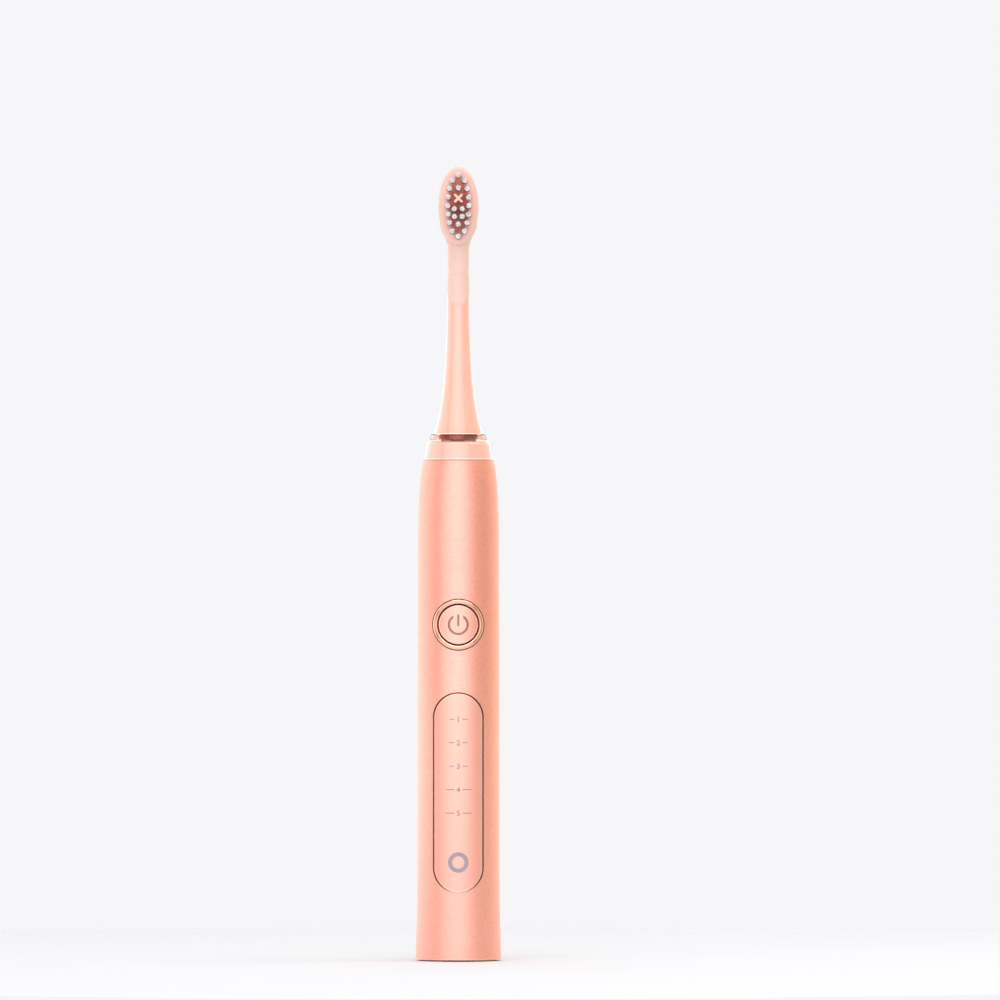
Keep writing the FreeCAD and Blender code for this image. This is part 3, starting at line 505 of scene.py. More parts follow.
class Palette(Enum):
    """Every finish of the toothbrush, most of them under the name of a material slot of the record.

    Each comment says what the real material gives the eye.
    """

    # bead-blasted anodised aluminium: broad soft highlights that run up the tube, fine glitter
    ANODISED_BODY = BlastedAluminium(
        "blasted_anodised_aluminium", "#ffaa96", 1.0, 0.4, 0.015, grain_mm=0.45, relief_mm=0.008,
        mottle=0.02, coat=0.35, coat_roughness=0.35,
        layers=(
            Layer("#ffd9c6", ((HEIGHT, 0.77, 0.72),)),  # painted highlight on the machined bottom edge
            Layer("#b87462", ((HEIGHT, 157.5, 157.55),)),  # painted shade of the seam under the collar, on the cut rim at the top
            # greyer on the walls inside the cut-outs for the button and the panel
            Layer("#d8b4a6", ((RADIUS, 12.8, 12.65), (HEIGHT, 130.0, 129.0), (FRONT, -6.0, -7.0))),
        ),
    )
    # gloss-moulded ABS, a little pearlescent: sharp reflections over a clean peach
    GLOSS_SHELL = Finish(
        "gloss_abs", "#faae99", 0.12, 0.12, 0.02, grain_mm=1.2, relief_mm=0.001, mottle=0.015,
        coat=1.0, coat_roughness=0.05, subsurface=0.08, subsurface_mm=1.5,
        layers=(
            # painted highlights: pale lines on the rounded lower lips of the collar and of the sleeve
            Layer("#fff3ec", ((HEIGHT, 157.7, 157.73), (HEIGHT, 158.12, 158.0))),
            Layer("#fff3ec", ((HEIGHT, 165.7, 165.73), (HEIGHT, 166.12, 166.0))),
        ),
    )
    # satin metallic lacquer on polycarbonate: like the tube, a little smoother and without glitter
    PANEL_SKIN = PanelLacquer(
        "satin_metallic_lacquer", "#feb09c", 0.9, 0.39, 0.015, grain_mm=0.4, relief_mm=0.003,
        mottle=0.02, coat=0.35, coat_roughness=0.35,
        layers=(
            # the flange under the groove, greyer, with painted shade where the groove arches over the top
            Layer("#e6c6ba", ((RADIUS, 12.78, 12.66),)),
            Layer("#8a5442", ((RADIUS, 12.78, 12.66), (HEIGHT, 77.0, 82.0))),
        ),
    )
    # the same lacquer on the button's cap, with painted shade in the engraved symbol and a painted highlight
    # at the rim
    BUTTON_SKIN = Finish(
        "satin_cap_lacquer", "#feae9a", 0.9, 0.36, 0.015, grain_mm=0.4, relief_mm=0.003, mottle=0.02,
        layers=(
            # painted shade in the engraved symbol's recess
            Layer("#94705f", ((OUT, 3.92, 3.9), (RADIUS, 12.8, 12.72))),
            # painted highlight at the cap's rim
            Layer("#fff4ec", ((OUT, 5.88, 5.94),)),
            # painted shade on the cap's deep side and round its edge
            Layer("#6a1a0c", ((RADIUS, 12.4, 12.2),)),
            Layer("#6a1a0c", ((OUT, 6.125, 6.145),)),
        ),
    )
    # polished rose-gold plating: mirror-like, with painted highlights along the ring's two rounded edges
    POLISHED_RING = Finish(
        "polished_rose_plating", "#f6a17e", 1.0, 0.16, 0.03, grain_mm=0.6, relief_mm=0.0006, mottle=0.02,
        layers=(
            Layer("#fff0e4", ((OUT, 6.55, 6.6), (OUT, 6.88, 6.83))),
            Layer("#fff0e4", ((OUT, 7.65, 7.7), (OUT, 8.0, 7.95))),
            Layer("#6a1a0c", ((OUT, 6.72, 6.68), (RADIUS, 12.78, 12.63))),  # painted shade in the bore
        ),
    )
    # translucent legend ink: a flat greyish brown
    MARK_INK = Finish(
        "legend_ink", "#a0959b", roughness=0.5, grain_mm=0.15, relief_mm=0.002, mottle=0.06, mottle_mm=1.5
    )
    # frosted polypropylene: milky, softly lit through, with painted shade as a deeper rose oval between the
    # tufts
    FROSTED_PLASTIC = Finish(
        "frosted_polypropylene", "#dfbcad", roughness=0.42, grain_mm=0.25, relief_mm=0.003,
        mottle=0.06, mottle_mm=0.7, subsurface=0.35, subsurface_mm=2.0,
        layers=(
            # the bristle face, and painted shade on the pad inside the ring of tufts
            Layer("#efc0b0", ((OUT, 1.04, 0.96), (FRONT, -3.55, -3.8)), (0.0, -3.9, 237.53), (5.4, 11.5)),
            Layer("#f28b74", ((OUT, 1.1, 0.9), (FRONT, -3.55, -3.8)), (0.0, -3.9, 237.53), (3.35, 9.0)),
        ),
    )
    # clear-moulded SAN: glassy, tinted by what is behind it
    CLEAR_PLASTIC = Finish(
        "clear_san", "#f3cfc0", roughness=0.04, roughness_spread=0.01, ior=1.45, grain_mm=1.5,
        relief_mm=0.0, mottle=0.01, transmission=1.0,
    )
    # vacuum-metallised copper: shiny, its colour deep and dark, partly as painted shade
    COPPER_BAND = TurnedMetal(
        "metallised_copper", "#a8432b", 0.7, 0.25, 0.05, grain_mm=0.4, relief_mm=0.001, mottle=0.05
    )
    # extruded nylon filaments: milky white, slightly translucent
    NYLON = NylonFilament(
        "nylon_filament", "#fdfbfa", grain_mm=0.2, relief_mm=0.0, subsurface=0.2, subsurface_mm=0.5,
        layers=(
            Layer("#f7f0f0", ((HEIGHT, 245.0, 245.1),)),  # painted shade: the topmost tufts a little greyer
            Layer("#c08078", ((FRONT, -12.9, -6.2),)),  # painted shade, tinted rose as light bounced off the head, on the stems, strongest at the root
        ),
    )
    # thermoplastic elastomer: soft peach with a velvety, low sheen
    SOFT_ELASTOMER = Finish(
        "thermoplastic_elastomer", "#f3b8a0", roughness=0.6, grain_mm=0.2, relief_mm=0.003, mottle=0.03,
        subsurface=0.25, sheen=0.15,
    )
    # liquid silicone seals: greyish tan, satin
    SEAL_RUBBER = Finish(
        "seal_silicone", "#ecd2c2", roughness=0.5, grain_mm=0.35, mottle=0.05,
        subsurface=0.1, subsurface_mm=0.8,
    )
    # painted shade: a brown, matt cord in the seam round the button, where there is only shade
    SEAM_CORD = Finish("seam_shade_cord", "#6a4232", roughness=0.6, mottle=0.05)
    # silicone feet: copper pink, slightly sticky satin
    FOOT_RUBBER = Finish(
        "foot_silicone", "#d08a74", roughness=0.55, relief_mm=0.006, mottle=0.05,
        subsurface=0.1, subsurface_mm=0.8,
    )
    # structural ABS inside: off-white, fine spark-eroded texture
    STRUCTURAL_PLASTIC = Finish(
        "spark_textured_abs", "#ddd9d3", roughness=0.55, grain_mm=0.35, relief_mm=0.01, mottle=0.03
    )
    # light-tight black polycarbonate
    SHROUD_PLASTIC = Finish(
        "black_polycarbonate", "#202022", roughness=0.5, grain_mm=0.35, relief_mm=0.008, mottle=0.08
    )
    # glass-fibre laminate under solder mask
    CIRCUIT_BOARD = SolderMask("solder_masked_laminate", "#17593a", roughness=0.3, grain_mm=0.6)
    # moulded epoxy packages: near black with a fine matt grain
    COMPONENT_BODY = Finish(
        "moulded_epoxy", "#1b1b1e", roughness=0.6, grain_mm=0.15, mottle=0.1, mottle_mm=2.0
    )
    # light diodes under a clear yellowish lens
    LAMP = Finish(
        "lamp_lens", "#f3ecd2", roughness=0.15, grain_mm=0.8, relief_mm=0.001, mottle=0.02,
        subsurface=0.3, subsurface_mm=0.5,
    )
    # ground stainless steel: bright rings along the shaft
    STEEL = TurnedMetal(
        "ground_stainless_steel", "#c9c9cb", 1.0, 0.22, 0.06, grain_mm=0.4, relief_mm=0.001
    )
    # nickel-plated spring steel and cans
    PLATED_STEEL = TurnedMetal(
        "nickel_plated_steel", "#b6b4ae", 1.0, 0.28, 0.06, grain_mm=0.5, relief_mm=0.002
    )
    # sintered bronze bearings: open pores, dull
    SINTERED_BRONZE = Finish(
        "sintered_bronze", "#a9824f", 1.0, 0.5, 0.08, grain_mm=0.12, relief_mm=0.02, mottle=0.15,
        mottle_mm=1.0,
    )
    # stamped brass
    BRASS = Finish("stamped_brass", "#d3b06a", 1.0, 0.3, 0.05, grain_mm=0.6, relief_mm=0.002, mottle=0.05)
    # enamelled copper winding
    COPPER_WIRE = WoundWire("enamelled_copper_winding", "#c4713f", 0.8, 0.3, 0.05, mottle=0.08, mottle_mm=3.0)
    # nickel-plated sintered magnet: greyer and duller than the steel
    MAGNET = Finish("plated_magnet", "#8f9093", 1.0, 0.35, 0.06, grain_mm=0.2, mottle=0.08)
    # drawn cell can: faint lines along its length
    CELL_CAN = TurnedMetal(
        "drawn_cell_can", "#bcbdbf", 1.0, 0.3, 0.06, ring_mm=0.6, grain_mm=0.5, relief_mm=0.001
    )
    # blue shrink film round the cell
    SHRINK_FILM = Finish(
        "shrink_film", "#2a5a9c", roughness=0.2, grain_mm=3.0, relief_mm=0.02, mottle=0.08, mottle_mm=10.0
    )
    # closed-cell foam pads
    FOAM = Finish("closed_cell_foam", "#2b2b2d", roughness=0.9, relief_mm=0.06, mottle=0.25, mottle_mm=0.8)
    # silicone lead insulation, red
    WIRE_INSULATION = Finish("lead_insulation", "#a8221c", roughness=0.4, grain_mm=0.5, relief_mm=0.002)

    @classmethod
    def of_slot(cls, slot: str) -> "Palette":
        """The finish of a slot of the record."""
        return cls[slot.upper()]


class Wardrobe:
    """Makes each finish's material once and dresses objects in it."""

    def __init__(self) -> None:
        """Start with no materials made."""
        self._made: dict[Palette, bpy.types.Material] = {}

    def material(self, finish: Palette) -> bpy.types.Material:
        """The material of a finish, made when it is first asked for."""
        if finish not in self._made:
            self._made[finish] = finish.value.material()
        return self._made[finish]

    def dress(self, piece: bpy.types.Object, finish: Palette) -> None:
        """Put one finish on all of a piece's material slots.

        Args:
            piece: The object to dress.
            finish: The finish it gets.
        """
        material = self.material(finish)
        if not piece.material_slots:
            piece.data.materials.append(material)
        for slot in piece.material_slots:
            slot.material = material


# ---------------- mesh helpers
def new_piece(name: str, mesh: bpy.types.Mesh) -> bpy.types.Object:
    """Link a mesh to the scene as an object at the origin.

    Args:
        name: The piece's name.
        mesh: Its mesh, already in place.

    Returns:
        The new object.
    """
    mesh.name = name
    piece = bpy.data.objects.new(name, mesh)
    bpy.context.scene.collection.objects.link(piece)
    return piece


def finished(name: str, form: bmesh.types.BMesh) -> bpy.types.Object:
    """Turn an edited form into a piece of that name, and free the form."""
    mesh = bpy.data.meshes.new(name)
    form.to_mesh(mesh)
    form.free()
    return new_piece(name, mesh)


def evaluated_copy(piece: bpy.types.Object) -> bpy.types.Mesh:
    """A plain mesh of what an object shows, modifiers applied; the object goes."""
    graph = bpy.context.evaluated_depsgraph_get()
    mesh = bpy.data.meshes.new_from_object(piece.evaluated_get(graph), depsgraph=graph)
    bpy.data.objects.remove(piece)
    return mesh


class FrontSkin:
    """The front surface of a CAD node, to lay marks on."""

    def __init__(self, node: str) -> None:
        """Read the node's mesh.

        Args:
            node: The name of the CAD node.
        """
        mesh = frame["nodes"][node].data
        points = [v.co.copy() for v in mesh.vertices]
        self._tree = BVHTree.FromPolygons(points, [tuple(p.vertices) for p in mesh.polygons])
        self._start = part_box(node)[0].y - MM

    def depth(self, x: float, z: float) -> float:
        """The surface's y at a place seen from the front.

        Args:
            x: Across, in metres.
            z: Up, in metres.

        Returns:
            The y of the first surface met along +Y.
        """
        hit = self._tree.ray_cast(Vector((x, self._start, z)), Vector((0, 1, 0)))[0]
        if hit is None:
            raise ValueError(f"nothing in front at x {x:.4f}, z {z:.4f}")
        return hit.y


# ---------------- geometry nodes
class MeshTree:
    """Geometry Nodes with named inputs, whose result is one mesh of one material."""

    NAME: ClassVar[str]
    SIZES: ClassVar[dict[str, float]]  # the named inputs and their defaults, whole numbers for seeds

    def __init__(self, material: bpy.types.Material) -> None:
        """Build the tree.

        Args:
            material: What the mesh is made of.
        """
        self.tree = bpy.data.node_groups.new(self.NAME, "GeometryNodeTree")
        self.tree.is_modifier = True
        face = self.tree.interface
        face.new_socket("Geometry", in_out="INPUT", socket_type="NodeSocketGeometry")
        self.sockets: dict[str, str] = {}
        for name, value in self.SIZES.items():
            kind = "NodeSocketInt" if isinstance(value, int) else "NodeSocketFloat"
            socket = face.new_socket(name, in_out="INPUT", socket_type=kind)
            socket.default_value = value
            self.sockets[name] = socket.identifier
        face.new_socket("Geometry", in_out="OUTPUT", socket_type="NodeSocketGeometry")
        shape = self.wire(add(self.tree, "NodeGroupInput").outputs)
        whole = add(self.tree, "GeometryNodeRealizeInstances", {"Geometry": shape})
        dressed = add(self.tree, "GeometryNodeSetMaterial", {"Geometry": whole, "Material": material})
        add(self.tree, "NodeGroupOutput", {"Geometry": dressed})

    def wire(self, entry: Any) -> Source:
        """Lay out the nodes that shape the mesh, from the tree's inputs by name."""
        raise NotImplementedError

    def run(self, name: str, sizes: dict[str, float], points: Iterable[Vector] = ()) -> bpy.types.Object:
        """Run the tree and turn its result into one plain, smooth mesh.

        Args:
            name: The new piece's name.
            sizes: Values for the tree's named inputs, in metres.
            points: The vertices of the mesh that the tree starts from.

        Returns:
            The piece, with no modifier left on it.
        """
        base = bpy.data.meshes.new(name)
        base.from_pydata([tuple(p) for p in points], [], [])
        holder = new_piece(name + "_base", base)
        modifier = holder.modifiers.new("tree", "NODES")
        modifier.node_group = self.tree
        for key, value in sizes.items():
            modifier[self.sockets[key]] = value
        mesh = evaluated_copy(holder)
        for polygon in mesh.polygons:
            polygon.use_smooth = True
        return new_piece(name, mesh)


class TuftTree(MeshTree):
    """Geometry Nodes that grow a tuft of round-tipped filaments on every vertex of a mesh.

    The filaments point along -Y. Named inputs give the tuft's radius, the filament's radius and
    length, the space between filaments, how far they splay, and the seed.
    """

    NAME = "bristle_tufts_tree"
    SIZES = {
        "Tuft Radius": 0.85 * MM,
        "Filament Radius": 0.095 * MM,
        "Filament Pitch": 0.2 * MM,
        "Filament Length": 9.3 * MM,
        "Length Spread": 0.05 * MM,
        "Splay": math.radians(0.6),
        "Seed": 11,
    }
    SIDES, SEGMENTS = 6, 3  # of a filament, round it and along it
    TIP_SHRINK = 0.3  # of the end ring, as a share of the radius
    RINGS_ABOVE = (0.9, 0.3)  # heights that part a filament's end ring and the one under it from the rest
    ROWS = 13  # of filament places, which cover the widest tuft
    LENGTH_SEED = 7

    def _filament(self, length: Source, radius: Source) -> Source:
        """One filament along +Z with a rounded tip: a hexagonal tube whose last ring draws in.

        Args:
            length: The filament's length.
            radius: The filament's radius.

        Returns:
            The filament's mesh.
        """
        put = partial(add, self.tree)
        inputs = {"Vertices": self.SIDES, "Side Segments": self.SEGMENTS, "Radius": radius, "Depth": length}
        tube = put("GeometryNodeMeshCylinder", inputs, fill_type="NGON")
        axes = put(SEPARATE, [put("GeometryNodeInputPosition")]).outputs
        half = put(MATH, [length, 0.5], "MULTIPLY")
        end, second = (
            put(MATH, [axes["Z"], put(MATH, [half, share], "MULTIPLY")], "GREATER_THAN")
            for share in self.RINGS_ABOVE
        )
        # the end ring shrinks, and the ring under it climbs to half a radius below the tip
        keep = put(MATH, [end, -self.TIP_SHRINK, 1.0], "MULTIPLY_ADD")
        under = put(MATH, [radius, -0.5, half], "MULTIPLY_ADD")
        climb = put(MATH, [under, axes["Z"]], "SUBTRACT")
        climbs = put(MATH, [second, end], "SUBTRACT")
        rest = put(MATH, [axes["Z"], half], "ADD")
        spot = [put(MATH, [axes[axis], keep], "MULTIPLY") for axis in ("X", "Y")]
        shaped = put(COMBINE, [*spot, put(MATH, [climbs, climb, rest], "MULTIPLY_ADD")])
        return put("GeometryNodeSetPosition", {"Geometry": tube, "Position": shaped})

    def _places(self, pitch: Source, reach: Source) -> tuple[Source, Source]:
        """Filament places packed as bundled filaments lie: rows half a pitch apart, cut to a disc.

        Args:
            pitch: The space between filaments.
            reach: The disc's radius.

        Returns:
            The places as loose points, and each one's distance from the middle.
        """
        put, rows, middle = partial(add, self.tree), self.ROWS, (self.ROWS - 1) / 2
        index = put("GeometryNodeInputIndex")
        row = put(MATH, [put(MATH, [index, float(rows)], "DIVIDE")], "FLOOR")
        column = put(MATH, [index, float(rows)], "MODULO")
        odd = put(MATH, [row, 2.0], "MODULO")
        # odd rows move over by half a pitch, so all of them together by a quarter
        place = put(COMBINE, [put(MATH, [odd, 0.5, column], "MULTIPLY_ADD"), row])
        centred = put(VECTOR_MATH, [place, (middle + 0.25, middle, 0.0)], "SUBTRACT")
        packed = put(VECTOR_MATH, [centred, (1.0, math.sqrt(0.75), 0.0)], "MULTIPLY")
        grid = put(VECTOR_MATH, {0: packed, "Scale": pitch}, "SCALE")
        points = put("GeometryNodePoints", {"Count": rows * rows, "Position": grid})
        radius = put(VECTOR_MATH, [put("GeometryNodeInputPosition")], "LENGTH")
        outside = put(MATH, [radius, reach], "GREATER_THAN")
        kept = put("GeometryNodeDeleteGeometry", {"Geometry": points, "Selection": outside}, domain="POINT")
        return kept, radius

    def wire(self, entry: Any) -> Source:
        """Lay out the nodes: filament places in a disc, a turned disc per tuft, a filament per place.

        Args:
            entry: The tree's inputs by name.

        Returns:
            All the filaments.
        """
        put = partial(add, self.tree)
        length, thick = entry["Filament Length"], entry["Filament Radius"]
        seed, splay = entry["Seed"], entry["Splay"]
        reach = put(MATH, [entry["Tuft Radius"], thick], "SUBTRACT")
        places, radius = self._places(entry["Filament Pitch"], reach)
        share = put(MATH, [radius, entry["Tuft Radius"]], "DIVIDE")
        inputs = {"Geometry": places, "Name": "from_axis", "Value": share}
        marked = put("GeometryNodeStoreNamedAttribute", inputs, data_type="FLOAT", domain="POINT")
        spin = put(RANDOM, {2: 0.0, 3: 2 * math.pi, "Seed": seed}, data_type="FLOAT")
        inputs = {"Points": entry["Geometry"], "Instance": marked, "Rotation": put(COMBINE, [QUARTER, spin])}
        roots = put("GeometryNodeRealizeInstances", [put("GeometryNodeInstanceOnPoints", inputs)])
        back = put(MATH, [splay, -1.0], "MULTIPLY")
        ends = [put(COMBINE, {0: turn, 2: turn}) for turn in (back, splay)]
        tilt = put(RANDOM, {0: ends[0], 1: ends[1], "Seed": seed}, data_type="FLOAT_VECTOR")
        lean = put(VECTOR_MATH, [(QUARTER, 0.0, 0.0), tilt], "ADD")
        lost = put(MATH, [entry["Length Spread"], length], "DIVIDE")
        least = put(COMBINE, [1.0, 1.0, put(MATH, [1.0, lost], "SUBTRACT")])
        inputs = {0: least, 1: (1.0, 1.0, 1.0), "Seed": self.LENGTH_SEED}
        stretch = put(RANDOM, inputs, data_type="FLOAT_VECTOR")
        filament = self._filament(length, thick)
        inputs = {"Points": roots, "Instance": filament, "Rotation": lean, "Scale": stretch}
        return put("GeometryNodeInstanceOnPoints", inputs)


class SeamCordTree(MeshTree):
    """Geometry Nodes that lay a round cord in a circular seam cut through the grip's front."""

    NAME = "seam_cord_tree"
    SIZES = {
        "Seam Radius": 8.0 * MM,
        "Seam Height": 106.0 * MM,
        "Cord Radius": 0.14 * MM,
        "Grip Radius": 12.5 * MM,
    }
    SEAM_SIDES = 120
    CORD_SIDES = 10

    def wire(self, entry: Any) -> Source:
        """Lay out the nodes: a circle bent onto the grip, and a round section run along it.

        Args:
            entry: The tree's inputs by name.

        Returns:
            The cord.
        """
        put, grip = partial(add, self.tree), entry["Grip Radius"]
        circle = "GeometryNodeCurvePrimitiveCircle"
        seam = put(circle, {"Resolution": self.SEAM_SIDES, "Radius": entry["Seam Radius"]})
        axes = put(SEPARATE, [put("GeometryNodeInputPosition")]).outputs
        squares = [put(MATH, [length, length], "MULTIPLY") for length in (grip, axes["X"])]
        depth = put(MATH, [put(MATH, squares, "SUBTRACT")], "SQRT")
        front = put(MATH, [depth, -1.0], "MULTIPLY")
        height = put(MATH, [axes["Y"], entry["Seam Height"]], "ADD")
        spot = put(COMBINE, [axes["X"], front, height])
        bent = put("GeometryNodeSetPosition", {"Geometry": seam, "Position": spot})
        section = put(circle, {"Resolution": self.CORD_SIDES, "Radius": entry["Cord Radius"]})
        return put("GeometryNodeCurveToMesh", {"Curve": bent, "Profile Curve": section})


# ---------------- sub-assemblies
@dataclass
class BrushHead:
    """The brush head's own pieces: nylon tufts and the soft cross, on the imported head."""

    body: str = "brush_head"
    tuft_radius_mm: float = 0.85
    filament_radius_mm: float = 0.1
    filament_pitch_mm: float = 0.2
    seed: int = 11
    cross_span_mm: float = 3.7
    cross_width_mm: float = 0.75
    cross_tip_round_mm: float = 0.12
    cross_taper: float = 0.98
    cross_tip_steps: int = 5
    cross_end_steps: int = 8

    def tuft_roots(self) -> list[Vector]:
        """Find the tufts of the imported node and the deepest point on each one's axis.

        Returns:
            One point per tuft, at the bottom of its hole.
        """
        node = frame["nodes"]["bristle_tufts"]
        form = bmesh.new()
        form.from_mesh(node.data)
        bmesh.ops.remove_doubles(form, verts=form.verts, dist=WELD_MM * MM)
        waiting = set(form.verts)
        roots = []
        while waiting:
            stack, island = [waiting.pop()], []
            while stack:
                vert = stack.pop()
                island.append(vert.co.copy())
                for edge in vert.link_edges:
                    other = edge.other_vert(vert)
                    if other in waiting:
                        waiting.remove(other)
                        stack.append(other)
            low = Vector(min(p[i] for p in island) for i in range(3))
            high = Vector(max(p[i] for p in island) for i in range(3))
            roots.append(Vector(((low.x + high.x) / 2, high.y, (low.z + high.z) / 2)))
        form.free()
        return sorted(roots, key=lambda r: (round(-r.z, 5), round(r.x, 5)))

    def make_tufts(self, wardrobe: Wardrobe) -> bpy.types.Object:
        """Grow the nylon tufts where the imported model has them.

        Args:
            wardrobe: Gives the nylon.

        Returns:
            The finished piece, riding on the brush head.
        """
        low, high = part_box("bristle_tufts")
        tree = TuftTree(wardrobe.material(Palette.NYLON))
        sizes = {
            "Tuft Radius": self.tuft_radius_mm * MM,
            "Filament Radius": self.filament_radius_mm * MM,
            "Filament Pitch": self.filament_pitch_mm * MM,
            "Filament Length": high.y - low.y,
            "Seed": self.seed,
        }
        tufts = tree.run("nylon_tufts", sizes, self.tuft_roots())
        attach(tufts, self.body)
        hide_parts("bristle_tufts")
        return tufts

    def make_cross(self, wardrobe: Wardrobe) -> bpy.types.Object:
        """Mould the soft polishing cross: two crossed blades with rounded tips that taper outwards.

        Args:
            wardrobe: Gives the elastomer.

        Returns:
            The finished piece, riding on the brush head.
        """
        low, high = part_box("cross_tuft")
        middle = (low + high) / 2
        width, reach = 0.5 * self.cross_width_mm * MM, 0.5 * self.cross_span_mm * MM
        tip, taper = self.cross_tip_round_mm * MM, self.cross_taper
        rows = [(high.y, 1.0, 0.0), (low.y + 3 * tip, taper, 0.0)]
        for step in range(self.cross_tip_steps + 1):
            turn = QUARTER * step / self.cross_tip_steps
            rows.append((low.y + tip * (1 - math.sin(turn)), taper, tip * (1 - math.cos(turn))))
        form = bmesh.new()
        rings = []
        for y, share, inset in rows:
            ring = []
            for along, across, arm in self._cross_outline(reach, width):
                b = math.copysign(max(0.0, abs(across) * share - inset), across)
                # the corner between two arms stays on their diagonal
                a = max(abs(b), along * share - inset) if along == width else along - inset
                turn = QUARTER * (arm + 0.5)
                x, z = a * math.cos(turn) - b * math.sin(turn), a * math.sin(turn) + b * math.cos(turn)
                ring.append(form.verts.new((middle.x + x, y, middle.z + z)))
            rings.append(ring)
        for below, above in zip(rings, rings[1:]):
            for i in range(len(below)):
                j = (i + 1) % len(below)
                form.faces.new((below[i], below[j], above[j], above[i]))
        for ring in (rings[0], rings[-1]):
            form.faces.new(ring)
        bmesh.ops.recalc_face_normals(form, faces=form.faces)
        cross = finished("soft_cross", form)
        for polygon in cross.data.polygons:
            polygon.use_smooth = len(polygon.vertices) == 4
        wardrobe.dress(cross, Palette.SOFT_ELASTOMER)
        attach(cross, self.body)
        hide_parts("cross_tuft")
        return cross

    def _cross_outline(self, reach: float, width: float) -> list[tuple[float, float, int]]:
        """The cross's outline as (along, across, arm), arm by arm, each arm round ended.

        Args:
            reach: From the centre to an arm's end.
            width: Half an arm's width.

        Returns:
            The points in order round the cross.
        """
        steps = self.cross_end_steps
        outline = []
        for arm in range(4):
            outline.append((width, -width, arm))
            for step in range(steps + 1):
                turn = math.pi * (step / steps - 0.5)
                outline.append((reach - width + width * math.cos(turn), width * math.sin(turn), arm))
        return outline


@dataclass
class ModeLegend:
    """Digits printed beside the mode marks, one to a mode, wrapped on the panel."""

    body: str = "handle"
    digit_height_mm: float = 1.8
    weight: float = 0.025  # how much the strokes grow, as a share of the letter size
    curve_steps: int = 6
    ink_mm: float = 0.04
    sink_mm: float = 0.02
    row_gap_mm: float = 2.0

    def rows(self) -> list[float]:
        """The heights of the mode marks, from the top down."""
        heights = sorted((v.co.z for v in frame["nodes"]["mode_marks"].data.vertices), reverse=True)
        found: list[list[float]] = []
        for z in heights:
            if not found or found[-1][-1] - z > self.row_gap_mm * MM:
                found.append([])
            found[-1].append(z)
        return [(max(row) + min(row)) / 2 for row in found]

    def _digit(self, text: str) -> bpy.types.Mesh:
        """One digit as a flat mesh in the plane, centred, at its height.

        Args:
            text: The digit.

        Returns:
            The mesh, still without thickness.
        """
        curve = bpy.data.curves.new("digit", "FONT")
        curve.body = text
        curve.resolution_u = self.curve_steps
        curve.offset = self.weight
        writer = bpy.data.objects.new("digit", curve)
        bpy.context.scene.collection.objects.link(writer)
        mesh = evaluated_copy(writer)
        xs = [v.co.x for v in mesh.vertices]
        ys = [v.co.y for v in mesh.vertices]
        scale = self.digit_height_mm * MM / (max(ys) - min(ys))
        centre = Vector(((max(xs) + min(xs)) / 2, (max(ys) + min(ys)) / 2, 0))
        mesh.transform(Matrix.Scale(scale, 4) @ Matrix.Translation(-centre))
        return mesh

    def make(self, wardrobe: Wardrobe) -> bpy.types.Object:
        """Print the digits and lay them on the panel.

        Args:
            wardrobe: Gives the ink.

        Returns:
            The finished piece, riding on the handle.
        """
        skin = FrontSkin("mode_panel")
        form = bmesh.new()
        for number, height in enumerate(self.rows(), start=1):
            mesh = self._digit(str(number))
            before = set(form.verts)
            form.from_mesh(mesh)
            bpy.data.meshes.remove(mesh)
            for vert in set(form.verts) - before:
                x, z = vert.co.x, height + vert.co.y
                vert.co = Vector((x, skin.depth(x, z) + self.sink_mm * MM, z))
        bmesh.ops.remove_doubles(form, verts=form.verts, dist=WELD_MM * MM)
        bmesh.ops.recalc_face_normals(form, faces=form.faces)
        thick = Vector((0, -(self.ink_mm + self.sink_mm) * MM, 0))
        raised = bmesh.ops.extrude_face_region(form, geom=list(form.faces), use_keep_orig=True)["geom"]
        bmesh.ops.translate(form, verts=[g for g in raised if isinstance(g, bmesh.types.BMVert)], vec=thick)
        bmesh.ops.recalc_face_normals(form, faces=form.faces)
        digits = finished("mode_digits", form)
        wardrobe.dress(digits, Palette.MARK_INK)
        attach(digits, self.body)
        return digits


@dataclass
class PowerControl:
    """The power button's surround: painted shade, a brown, matt cord laid in the seam round its ring where
    there is only shade.
    """

    body: str = "handle"
    seam_mm: float = 0.32
    cord_radius_mm: float = 0.14
    sink_mm: float = 0.42

    def make(self, wardrobe: Wardrobe) -> bpy.types.Object:
        """Lay the cord between the ring and the tube.

        Args:
            wardrobe: Gives the cord's finish.

        Returns:
            The finished piece, riding on the handle.
        """
        low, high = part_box("button_bezel")
        tree = SeamCordTree(wardrobe.material(Palette.SEAM_CORD))
        sizes = {
            "Seam Radius": 0.5 * (high.x - low.x + self.seam_mm * MM),
            "Seam Height": 0.5 * (low.z + high.z),
            "Cord Radius": self.cord_radius_mm * MM,
            "Grip Radius": -low.y - self.sink_mm * MM,
        }
        cord = tree.run("button_seam_cord", sizes)
        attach(cord, self.body)
        return cord


class PackedParts:
    """The CAD nodes that keep their shape: each gets its own slot's finish."""

    def dress(self, wardrobe: Wardrobe) -> None:
        """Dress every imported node.

        Args:
            wardrobe: Gives the finishes.
        """
        for row in frame["record"]["subparts"]:
            finish = Palette.of_slot(row["material_slot"])
            wardrobe.dress(frame["nodes"][row["node"]], finish)
            log.info("%s: %s", row["node"], finish.value.name)


